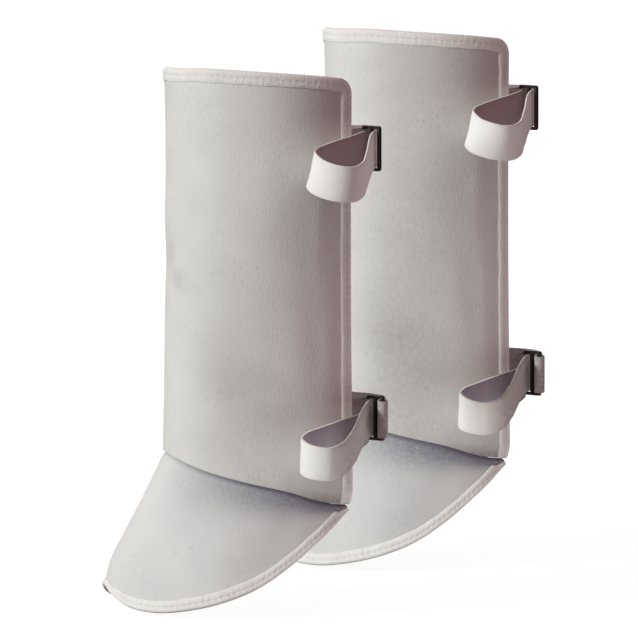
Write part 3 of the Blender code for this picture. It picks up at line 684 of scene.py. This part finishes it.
# %% The binding's section and stitches
#   inwards from the edge, out from the leather's outer face, share of the groove
OUTER_LEG = (
    (9.0, 0.12, 0.0), (8.7, 0.28, 0.0), (8.0, 0.50, 0.0), (7.0, 0.72, 0.0), (6.0, 0.80, 0.1),
    (5.2, 0.82, 0.4), (4.6, 0.80, 0.8), (4.0, 0.79, 1.0), (3.4, 0.80, 0.8), (2.8, 0.83, 0.4),
    (2.0, 0.85, 0.1), (1.1, 0.82, 0.0), (0.4, 0.64, 0.0), (-0.3, 0.00, 0.0),
)
inner_leg = tuple((inward, -2.0 - out, groove) for inward, out, groove in OUTER_LEG[::-1])
BINDING_PROFILE = OUTER_LEG + ((-0.6, -1.0, 0.0),) + inner_leg
BINDING_LEG, BINDING_LEATHER, BINDING_FOOT_GAP = 9.0 * MM, 0.9 * MM, 1.2 * MM
STITCH_APART, STITCH_LONG, THREAD = 5.0 * MM, 3.4 * MM, 0.55 * MM
STITCH_IN, STITCH_LIFT = 4.0 * MM, 1.16 * MM
BINDING_CUT, BINDING_POINTS_APART = 22.0 * MM, 1.5 * MM


def uneven(along, seed):
    """A slow wander between about -1 and 1 along a hand-guided strip."""
    draw = np.random.default_rng(seed)
    return sum(
        np.sin(2 * math.pi * along / length + draw.uniform(0, 2 * math.pi)) / 3
        for length in (0.021, 0.047, 0.113)
    )


def binding_offsets(along, v, leg, seed):
    """Offsets of the strip inwards and outwards, and how near each point is to a needle hole."""
    rows = np.array(BINDING_PROFILE)
    at = np.linspace(0.0, 1.0, len(rows))
    inward, out, groove = (np.interp(v, at, rows[:, k]) for k in range(3))
    inward = np.where(inward > 0, inward * leg / BINDING_LEG, inward) * MM
    inward = inward + 0.35 * MM * uneven(along, seed) * (inward > 7.5 * MM)
    side = np.where(out > -1.0, 1.0, -1.0)
    phase = (along / STITCH_APART) % 1.0
    from_hole = np.minimum(phase, 1.0 - phase) * STITCH_APART
    dimple = 0.34 * np.exp(-((from_hole / (0.8 * MM)) ** 2)) * groove
    puff = (0.06 * np.sin(math.pi * phase) + 0.07 * uneven(along, seed + 7)) * (1 - groove)
    puff = puff * (np.abs(out + 1.0) > 1.2)
    return inward, (out + side * (puff - dimple)) * MM, groove * np.exp(-((from_hole / MM) ** 2))


# %% [markdown]
# ## Where the bindings run
# One binding runs up a back edge, round the top and down the other back edge. Its line is drawn
# on the flat panel first, and its points are spaced evenly along it, so that the stitches keep
# their 5 mm. The other runs round the flap's rim.

# %% Lines of the bindings
def even_line(points, apart):
    """Even points along a line, and how far along each is."""
    run = walk(points)
    at = np.linspace(0.0, run[-1], int(run[-1] / apart) + 1)
    return read_at(at, run, points), at


# the flap's binding is cut narrower over the toes: share, angle
TOE_NARROWS = ((0.30, 14.0), (0.24, 44.0))
lowest = float(seam_height(BACK_EDGE_ANGLE)) + BINDING_FOOT_GAP
corner = float(top_height(BACK_EDGE_ANGLE))
arc = TOP_CORNER_RADIUS * (1 - np.cos(np.linspace(0.0, math.pi / 2, 24)))
right = PANEL_HALF - arc
middle = np.linspace(-right[-1], right[-1], 400)[1:-1]
across = np.concatenate([-right, middle, right[::-1]])
over_top = np.stack([across, top_height(angle_at(across))], axis=-1)
up_side = np.stack([np.full(40, -PANEL_HALF), np.linspace(lowest, corner, 41)[:-1]], axis=-1)
down_side = up_side[::-1] * (-1, 1)
panel_line, panel_run = even_line(np.vstack([up_side, over_top, down_side]), BINDING_POINTS_APART)
heading = unit(np.gradient(panel_line, axis=0))
panel_inward = np.stack([heading[:, 1], -heading[:, 0]], axis=-1)

fine = np.linspace(-FLAP_END_ANGLE, FLAP_END_ANGLE, 2001)
run = walk(flap_rim(fine))
rim_run = np.linspace(0.0, run[-1], int(run[-1] / BINDING_POINTS_APART) + 1)
rim_angles = np.interp(rim_run, run, fine)
rim_points = flap_rim(rim_angles)
above_rim = flap_face(rim_angles, np.full(len(rim_angles), 0.88))
rim_normals, rim_down = flap_normals(rim_angles, above_rim)
rim_room = np.linalg.norm(rim_points - flap_shoulder(rim_angles), axis=-1)
rim_narrow = 1.0
for share, angle in TOE_NARROWS:
    rim_narrow = rim_narrow - share * np.exp(-((rim_angles / angle) ** 2))
rim_leg = np.clip(np.minimum(rim_room - 1.2 * MM, BINDING_LEG * rim_narrow), 0.6 * MM, BINDING_LEG)
print("panel binding", round(panel_run[-1] / MM), "mm, flap binding", round(rim_run[-1] / MM), "mm")


# %% Points on each binding
def panel_edge_place(along, inward, out):
    """A point by the panel's bound edge."""
    into = unit(read_at(along, panel_run, panel_inward))
    at = read_at(along, panel_run, panel_line) + into * inward[:, None]
    return shin_point(angle_at(at[:, 0]), at[:, 1], out)


def flap_edge_place(along, inward, out):
    """A point by the flap's bound rim."""
    at, normal, down = (
        read_at(along, rim_run, values) for values in (rim_points, rim_normals, rim_down)
    )
    return at - unit(down) * inward[:, None] + unit(normal) * out[:, None]


def binding_rule(line_place, length, legs, seed, place):
    def rule(u, v):
        along = u * length
        leg = np.interp(along, np.linspace(0.0, length, len(legs)), legs)
        inward, out, needle = binding_offsets(along, v, leg, seed)
        points = line_place(along, inward, out) + place
        lengths = np.stack([along, v * BINDING_CUT], axis=-1)
        # darker dots at the needle holes are painted shade in the holes, on a faint uneven soiling
        # of the strip
        hole_shade = (0.26 + 0.16 * uneven(along, seed + 5)) * needle
        worn = 0.03 + 0.05 * uneven(along, seed + 3) + hole_shade
        return points, lengths, np.clip(worn, 0.0, 1.0)

    return rule


# %% Making the bindings
BINDINGS = (
    ("shin_binding", panel_edge_place, float(panel_run[-1]), np.full(2, BINDING_LEG), 11),
    ("flap_binding", flap_edge_place, float(rim_run[-1]), rim_leg, 23),
)
for cover, place in COVERS.items():
    for part, line_place, length, legs, seed in BINDINGS:
        name = cover + "_" + part + "_leather"
        rule = binding_rule(line_place, length, legs, seed + len(cover), place)
        strip = leather_sheet(
            name, rule, int(length / BINDING_POINTS_APART), 2 * len(BINDING_PROFILE) - 2,
            BINDING_LEATHER, binding_leather,
        )
        print(name, len(strip.data.polygons), "faces")

# %% [markdown]
# ## Stitches
# The seams are lockstitched in white polyester thread, so each stitch is a short, round-ended
# run of thread that lies in the groove and dives into a hole at both ends. One stitch is
# modelled from a sphere, drawn out and flattened, then copied to each place on both legs. Spun
# polyester has a soft shine, and its twist is drawn 1.2 mm coarse so that it shows.

# %% Thread
def speckled(name, dark, light, size, detail, roughness):
    """A finish that varies between two colours over a size, with its tree, shader and noise."""
    finish, tree, shader = new_finish(name)
    place = add_node(tree, "ShaderNodeTexCoord").outputs["Object"]
    noise = add_node(tree, "ShaderNodeTexNoise", {
        "Vector": place, "Scale": 1 / size, "Detail": detail})
    tint = add_node(tree, "ShaderNodeMix", {
        0: noise.outputs["Fac"], 6: hex_colour(dark), 7: hex_colour(light)}, data_type="RGBA")
    tree.links.new(tint.outputs[2], shader.inputs["Base Color"])
    shader.inputs["Roughness"].default_value = roughness
    return finish, tree, shader, noise


thread, tree, shader, twist = speckled(
    "white_polyester_thread", "#c9c6bf", "#eceae4", 1.2 * MM, 2.0, 0.55
)
shader.inputs["Sheen Weight"].default_value = 0.2

bpy.ops.object.select_all(action="DESELECT")
bpy.ops.mesh.primitive_uv_sphere_add(segments=8, ring_count=5, radius=0.5)
stitch = bpy.context.object
stitch.name = "one_stitch"
stitch.data.materials.append(thread)
bpy.ops.object.mode_set(mode="EDIT")
bpy.ops.transform.rotate(value=math.pi / 2, orient_axis="Y", center_override=(0.0, 0.0, 0.0))
bpy.ops.transform.resize(value=(STITCH_LONG, THREAD, 0.7 * THREAD), center_override=(0.0, 0.0, 0.0))
bpy.ops.object.mode_set(mode="OBJECT")
print("one stitch", [round(v / MM, 2) for v in stitch.dimensions], "mm")


# %% Laying the stitches
def stitch_row(name, line_place, length, legs, place):
    """One stitch copied along both legs of a binding, and joined as one piece."""
    centres = np.arange(0.5, length / STITCH_APART - 0.5) * STITCH_APART
    leg = np.interp(centres, np.linspace(0.0, length, len(legs)), legs)
    centres = centres[leg > 0.65 * BINDING_LEG]
    ends = (centres - 0.3 * STITCH_LONG, centres + 0.3 * STITCH_LONG)
    copies = []
    for face, lift in ((1.0, STITCH_LIFT), (-1.0, -LEATHER - STITCH_LIFT)):
        inward, out = np.full(len(centres), STITCH_IN), np.full(len(centres), lift)
        middle = line_place(centres, inward, out)
        along = unit(line_place(ends[1], inward, out) - line_place(ends[0], inward, out))
        up = unit(line_place(centres, inward, out + face * 0.5 * MM) - middle)
        side = np.cross(up, along)
        for k in range(len(centres)):
            copy = stitch.copy()
            copy.data = stitch.data.copy()
            axes = Matrix(np.stack([along[k], side[k], up[k]], axis=1).tolist()).to_4x4()
            copy.matrix_world = Matrix.Translation((middle[k] + place).tolist()) @ axes
            bpy.context.collection.objects.link(copy)
            copies.append(copy)
    bpy.ops.object.select_all(action="DESELECT")
    for copy in copies:
        copy.select_set(True)
    bpy.context.view_layer.objects.active = copies[0]
    bpy.ops.object.join()
    bpy.ops.object.transform_apply(location=True, rotation=True, scale=True)
    row = bpy.context.object
    row.name = row.data.name = name
    bpy.ops.object.shade_smooth()
    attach(row, "root")
    return row, len(copies)


for cover, place in COVERS.items():
    for part, line_place, length, legs, seed in BINDINGS:
        row, count = stitch_row(cover + "_" + part + "_stitches", line_place, length, legs, place)
        print(row.name, count, "stitches")
bpy.data.objects.remove(stitch, do_unlink=True)

# %% [markdown]
# ## Straps and tabs
# Each strap is a 28 mm band of the same leather. It is sewn inside the far back edge, crosses
# behind the leg, goes through the buckle, and ends in a loop of spare strap. A short tab, sewn
# inside the near back edge, holds the buckle. A route gives the band's middle line and how far
# its upper edge tilts out and leans back. Across and out are millimetres from the leg's middle.

# %% Routes of the straps
STRAP_WIDTH, STRAP_LEATHER, TAB_LEATHER = 27.6 * MM, 1.5 * MM, 1.5 * MM
BUCKLE_WIDTH, BUCKLE_SLOT, BUCKLE_END_BAR = 26.0 * MM, 29.2 * MM, 2.4 * MM
BUCKLE_BAR, BUCKLE_THICKNESS, WRAP_GAP = 2.8 * MM, 2.0 * MM, 0.45 * MM
AXIS_SIN, AXIS_COS = math.sin(math.radians(10.0)), math.cos(math.radians(10.0))
STRAP_SEWN_ANGLES, TAB_SEWN_ANGLES = (-131.0, -124.0, -116.0), (114.0, 122.0, 130.5)
TAB_RETURN_APART, TAB_RETURN_SHORT = 2.3, 3.0
#   across, out, height, tilt, lean
UPPER_STRAP = (
    (70.0, 38.6, 228.3, 0.0, 0.0), (66.4, 44.4, 227.6, 4.0, 0.0), (59.4, 51.5, 226.0, 9.0, 0.0),
    (48.0, 61.0, 224.0, 13.0, 2.0), (38.0, 68.5, 221.6, 13.0, 6.0),
    (31.6, 75.0, 219.8, 11.0, 10.0), (29.4, 82.0, 218.0, 8.0, 12.0),
    (33.0, 90.0, 214.0, 6.0, 12.0), (42.0, 95.6, 210.6, 6.0, 11.0), (52.5, 96.4, 208.4, 6.0, 9.0),
    (62.0, 91.8, 208.2, 6.0, 6.0), (67.2, 84.0, 210.6, 6.0, 4.0), (70.0, 74.0, 216.0, 5.0, 3.0),
    (72.2, 64.0, 222.4, 4.0, 2.0), (74.0, 56.0, 227.0, 2.0, 0.0), (75.4, 50.2, 228.7, 0.0, 0.0),
    (76.9, 44.2, 228.7, 0.0, 0.0), (78.8, 35.5, 228.7, 0.0, 0.0), (80.2, 24.0, 228.4, 0.0, 0.0),
    (80.7, 8.0, 227.4, 0.0, 0.0), (79.6, -8.0, 226.2, 0.0, 0.0), (76.0, -23.0, 225.0, 0.0, 0.0),
    (69.4, -36.0, 223.8, 0.0, 0.0), (60.2, -45.6, 222.8, 0.0, 0.0),
)
LOWER_STRAP = (
    (70.0, 34.8, 21.4, 5.0, 0.0), (68.4, 38.6, 20.0, 9.0, 0.0), (64.4, 47.0, 18.2, 14.0, 0.0),
    (57.0, 55.0, 17.0, 18.0, 0.0), (47.0, 63.0, 15.0, 22.0, 0.0), (35.0, 70.5, 11.6, 22.0, 0.0),
    (25.8, 76.0, 8.4, 19.0, 0.0), (21.8, 83.0, 5.4, 17.0, 2.0), (24.6, 90.5, 3.0, 19.0, 2.0),
    (32.4, 96.0, 1.0, 22.0, 0.0), (42.4, 97.2, 0.2, 24.0, 0.0), (52.0, 92.4, 3.0, 23.0, 0.0),
    (59.6, 81.0, 10.0, 19.0, 0.0), (64.6, 66.0, 18.0, 14.0, 0.0), (67.9, 52.6, 23.2, 9.0, 0.0),
    (70.4, 42.4, 25.4, 5.0, 0.0),
)
LOWER_STRAP_BACK = (
    (84.4, 31.0, 26.6, 0.0, 0.0), (84.0, 16.0, 26.4, 0.0, 0.0), (82.2, 0.0, 25.6, 0.0, 0.0),
    (78.6, -16.0, 24.6, 0.0, 0.0), (72.0, -31.5, 23.6, 0.0, 0.0), (62.2, -43.4, 22.8, 0.0, 0.0),
)
LOWER_STRAP_WRAPS = (("middle", 136.0, 308.0), ("outer", 128.0, -66.0))
#   across, out, height, turn
UPPER_BUCKLE = (74.1, 39.0, 228.7, 61.0)
LOWER_BUCKLE = (77.2, 33.0, 26.8, 64.0)
LEG_UP = unit(np.array((-LEAN_INWARD, LEAN_BACK, 1.0)))


# %% From a route to a place
def strap_frame(across, out, height):
    x, y = across * AXIS_SIN + out * AXIS_COS, across * AXIS_COS - out * AXIS_SIN
    x, y, z = np.broadcast_arrays(x, y, height)
    return np.stack([x - LEAN_INWARD * z, y + LEAN_BACK * z, z], axis=-1) * MM


def sewn_rows(angles, height, thickness):
    """The sewn end of a strap, inside the panel and its binding."""
    inside = LEATHER + 1.0 * MM + 2 * GAP + thickness / 2
    share = float(column(SHIN_WIDTHS, height, 1))
    rows = []
    for angle in angles:
        x, y = oval(angle, -inside, share)
        across, out = (x * AXIS_SIN + y * AXIS_COS) / MM, (x * AXIS_COS - y * AXIS_SIN) / MM
        rows.append((across, out, height, 0.0, 0.0))
    return rows


def buckle_directions(buckle):
    turn = math.radians(buckle[3])
    return np.array((math.cos(turn), math.sin(turn))), np.array((-math.sin(turn), math.cos(turn)))


def bar_place(buckle, bar):
    step = {"inner": -1.0, "middle": 0.0, "outer": 1.0}[bar] * (BUCKLE_WIDTH - BUCKLE_BAR) / 2 / MM
    return np.array(buckle[:2]) + buckle_directions(buckle)[0] * step


def wrap_rows(buckle, bar, first, last, thickness, count):
    """A strap bent round one bar of the buckle."""
    bars, front = buckle_directions(buckle)
    radius = (math.hypot(BUCKLE_BAR, BUCKLE_THICKNESS) / 2 + WRAP_GAP + thickness / 2) / MM
    rows = []
    for angle in np.radians(np.linspace(first, last, count)):
        x, y = bar_place(buckle, bar) + radius * (bars * math.cos(angle) + front * math.sin(angle))
        rows.append((x, y, buckle[2], 0.0, 0.0))
    return rows


def tab_rows(buckle):
    """From inside the near back edge, round the buckle's inner bar, and back."""
    rows = sewn_rows(TAB_SEWN_ANGLES, buckle[2], TAB_LEATHER)
    start = np.array(rows[-1][:2])
    bars, front = buckle_directions(buckle)
    heading = unit(bar_place(buckle, "inner") - start)
    side = np.array((-heading[1], heading[0]))
    faced = math.degrees(math.atan2(side @ front, side @ bars))
    rows += wrap_rows(buckle, "inner", faced - 6.0, faced - 174.0, TAB_LEATHER, 7)
    back = start - side * TAB_RETURN_APART + heading * TAB_RETURN_SHORT
    return rows + [(back[0], back[1], buckle[2], 0.0, 0.0)]


upper_rows = list(UPPER_STRAP) + sewn_rows(STRAP_SEWN_ANGLES, UPPER_STRAP[-1][2], STRAP_LEATHER)
lower_rows = list(LOWER_STRAP)
for bar, first, last in LOWER_STRAP_WRAPS:
    lower_rows += wrap_rows(LOWER_BUCKLE, bar, first, last, STRAP_LEATHER, 6)
lower_rows += list(LOWER_STRAP_BACK)
lower_rows += sewn_rows(STRAP_SEWN_ANGLES, lower_rows[-1][2], STRAP_LEATHER)
print(len(upper_rows), "and", len(lower_rows), "rows in the straps' routes")

# %% [markdown]
# ## A band along a route
# The route's rows are joined by one smooth curve. More points go where the band bends, so that
# the loops stay round. Across its width the band cups slightly, as a leather strap does, and its
# edges are a little uneven from cutting.

# %% Band
BEND_WEIGHT = 14.0
BAND_CUP, BAND_CORNER_ROUND = 0.12 * MM, 0.35 * MM
STRAP_COLUMNS, TAB_COLUMNS, BAND_ROWS = 220, 70, 10
#     painted shade towards the buckle: millimetres across where it starts, and millimetres until it
#         is full
BAND_SHADE = ((42.0, 14.0), (74.0, 5.0))


def smooth_route(rows, samples):
    """Even samples of the smooth route, closer where it bends, and how far along each is."""
    rows = np.array(rows, float)
    table = np.column_stack([walk(rows[:, :3]), rows])
    places = np.linspace(0.0, table[-1, 0], 1600)
    fine = np.stack([column(table, places, k) for k in range(1, 6)], axis=-1)
    run, heading = walk(fine[:, :3]), unit(np.diff(fine[:, :2], axis=0))
    turned = np.concatenate([[0.0], walk(heading)])
    weighed = run + BEND_WEIGHT * turned
    at = np.linspace(0.0, weighed[-1], samples)
    return read_at(at, weighed, fine), np.interp(at, weighed, run) * MM


def band_rule(rows, columns, seed, shade_strength, shade_from, place):
    """The rule of a band along a route, with painted shade towards the buckle farther out than a
    given distance, and its length.
    """
    route, length = smooth_route(rows, columns + 1)
    centre = strap_frame(route[:, 0], route[:, 1], route[:, 2])
    along = unit(np.gradient(centre, axis=0))
    outwards, backwards = np.array((AXIS_COS, -AXIS_SIN, 0.0)), np.array((AXIS_SIN, AXIS_COS, 0.0))
    tilt, lean = np.radians(route[:, 3])[:, None], np.radians(route[:, 4])[:, None]
    edge = np.cos(tilt) * LEG_UP + np.sin(tilt) * outwards + np.sin(lean) * backwards
    edge = unit(edge - along * np.sum(along * edge, axis=1, keepdims=True))
    face = unit(np.cross(along, edge))

    def rule(u, v):
        i = np.rint(u * columns).astype(int)
        share = 2 * v - 1
        ragged = 0.12 * MM * uneven(length[i], seed) * np.abs(share) ** 3
        width = share * (STRAP_WIDTH / 2 - 0.1 * MM) + ragged
        bow = BAND_CUP * (1 - share**2)
        points = centre[i] + edge[i] * width[:, None] + face[i] * bow[:, None] + place
        lengths = np.stack([width, length[i]], axis=-1)
        worn = 0.04 + 0.12 * np.abs(share) ** 6 * (1 + uneven(length[i], seed + 1))
        across, out = route[i, 0], route[i, 1]
        painted_shade = sum(np.clip((across - first) / until, 0.0, 1.0) for first, until in BAND_SHADE)
        painted_shade = painted_shade * np.clip((out - shade_from) / 4.0, 0.0, 1.0)
        return points, lengths, np.clip(worn + shade_strength * painted_shade, 0.0, 0.9)

    return rule, float(length[-1])


UPPER_BAND = (UPPER_BUCKLE, upper_rows, 0.0, upper_flesh_shade)
LOWER_BAND = (LOWER_BUCKLE, lower_rows, 0.68, lower_flesh_shade)
for cover, place in COVERS.items():
    for level, (buckle, rows, strap_shade, flesh_shade) in (("upper", UPPER_BAND), ("lower", LOWER_BAND)):
        # the lower strap and the tabs are darkened towards the buckle, as painted shade
        for part, route, columns, thick, shade_strength, shade_from in (
            ("strap", rows, STRAP_COLUMNS, STRAP_LEATHER, strap_shade, 31.0),
            ("tab", tab_rows(buckle), TAB_COLUMNS, TAB_LEATHER, 0.8, -90.0),
        ):
            name = cover + "_" + level + "_" + part + "_leather"
            rule, length = band_rule(route, columns, 31 + len(name), shade_strength, shade_from, place)
            leather_sheet(
                name, rule, columns, BAND_ROWS, thick, strap_leather,
                BAND_CORNER_ROUND, flesh_shade,
            )
            print(name, round(length / MM), "mm long")

# %% [markdown]
# ## Slide buckles
# The buckle is a flat moulded frame with three bars and two slots. A grid of five columns and
# three rows has a cell for each bar and slot, so deleting the two slot cells leaves the frame.
# Thickness and a rounded edge come from Solidify and Bevel. Moulded nylon is nearly black and a
# little glossy, and its fine texture is drawn 0.8 mm coarse so that it shows.

# %% Black plastic
nylon, tree, shader, speck = speckled(
    "black_moulded_nylon", "#0d0b0a", "#1c1917", 0.8 * MM, 3.0, 0.42
)
relief = add_node(tree, "ShaderNodeBump", {
    "Height": speck.outputs["Fac"], "Strength": 0.1, "Distance": 0.0002})
tree.links.new(relief.outputs["Normal"], shader.inputs["Normal"])
shader.inputs["IOR"].default_value = 1.53
print("finishes", thread.name, nylon.name)


# %% Buckle
BUCKLE_CORNER, BUCKLE_EDGE_ROUND, BUCKLE_EXTRA = 2.4 * MM, 0.7 * MM, 1.0 * MM


def select_only(mesh, mode, parts, chosen):
    """Leaves edit mode on, with the chosen vertices or polygons selected and nothing else."""
    bpy.ops.object.mode_set(mode="EDIT")
    bpy.ops.mesh.select_mode(type=mode)
    bpy.ops.mesh.select_all(action="DESELECT")
    bpy.ops.object.mode_set(mode="OBJECT")
    for part in getattr(mesh, parts):
        part.select = chosen(part)
    bpy.ops.object.mode_set(mode="EDIT")


def slide_buckle(name, buckle, place):
    """A buckle's frame with its two slots, at its place on a cover."""
    piece, mesh = new_grid(name, 5, 3)
    half, slot = BUCKLE_WIDTH / 2, (BUCKLE_WIDTH - 3 * BUCKLE_BAR) / 2
    top = BUCKLE_SLOT / 2 + BUCKLE_END_BAR
    lines_x = np.array((-half, -half + BUCKLE_BAR, -BUCKLE_BAR / 2))
    lines_x = np.concatenate([lines_x, -lines_x[::-1]])
    lines_y = (-top, -BUCKLE_SLOT / 2, BUCKLE_SLOT / 2, top)
    for vertex in mesh.vertices:
        vertex.co.x = lines_x[round((vertex.co.x + 0.5) * 5)]
        vertex.co.y = lines_y[round((vertex.co.y + 0.5) * 3)]

    def in_slot(face):
        beside_bar = abs(abs(face.center.x) - (slot + BUCKLE_BAR) / 2) < slot / 4
        return beside_bar and abs(face.center.y) < BUCKLE_SLOT / 4

    def at_corner(vertex):
        return abs(vertex.co.x) > half - 0.1 * MM and abs(vertex.co.y) > top - 0.1 * MM

    select_only(mesh, "FACE", "polygons", in_slot)
    bpy.ops.mesh.delete(type="FACE")
    select_only(mesh, "VERT", "vertices", at_corner)
    bpy.ops.mesh.bevel(offset=BUCKLE_CORNER, segments=5, affect="VERTICES")
    bpy.ops.object.mode_set(mode="OBJECT")
    thick = piece.modifiers.new("thickness", "SOLIDIFY")
    thick.thickness, thick.offset = BUCKLE_THICKNESS + BUCKLE_EXTRA, 0.0
    edges = piece.modifiers.new("round_edges", "BEVEL")
    edges.width, edges.segments, edges.angle_limit = BUCKLE_EDGE_ROUND, 3, math.radians(40.0)
    apply_modifiers(piece)
    start = strap_frame(*bar_place(buckle, "inner"), buckle[2])
    end = strap_frame(*bar_place(buckle, "outer"), buckle[2])
    front = unit(np.cross(end - start, LEG_UP))
    axes = Matrix(np.stack([np.cross(LEG_UP, front), LEG_UP, front], axis=1).tolist()).to_4x4()
    piece.matrix_world = Matrix.Translation(((start + end) / 2 + place).tolist()) @ axes
    bpy.ops.object.transform_apply(location=True, rotation=True, scale=True)
    bpy.ops.object.shade_smooth_by_angle(angle=math.radians(40.0))
    mesh.materials.append(nylon)
    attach(piece, "root")
    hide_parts(name.replace("_frame", ""))
    return piece


for cover, place in COVERS.items():
    for level, buckle in (("upper", UPPER_BUCKLE), ("lower", LOWER_BUCKLE)):
        piece = slide_buckle(cover + "_" + level + "_buckle_frame", buckle, place)
        print(piece.name, len(piece.data.polygons), "faces")

# %% [markdown]
# ## Each sheet's cover and kind
# The panel and the flap aren't rectangles. Each sheet's name is split into its cover and its kind,
# and nothing more is done with them.

# %% Cover and kind of each sheet
for piece in sheets:
    cover, kind = piece.name.replace("_leather", "").split("_", 1)
    # a sheet's closed shell shows its leather twice
    if kind == "shin_panel":
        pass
    elif kind == "foot_flap":
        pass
    elif kind == "shin_binding":
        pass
    elif kind == "flap_binding":
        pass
    else:
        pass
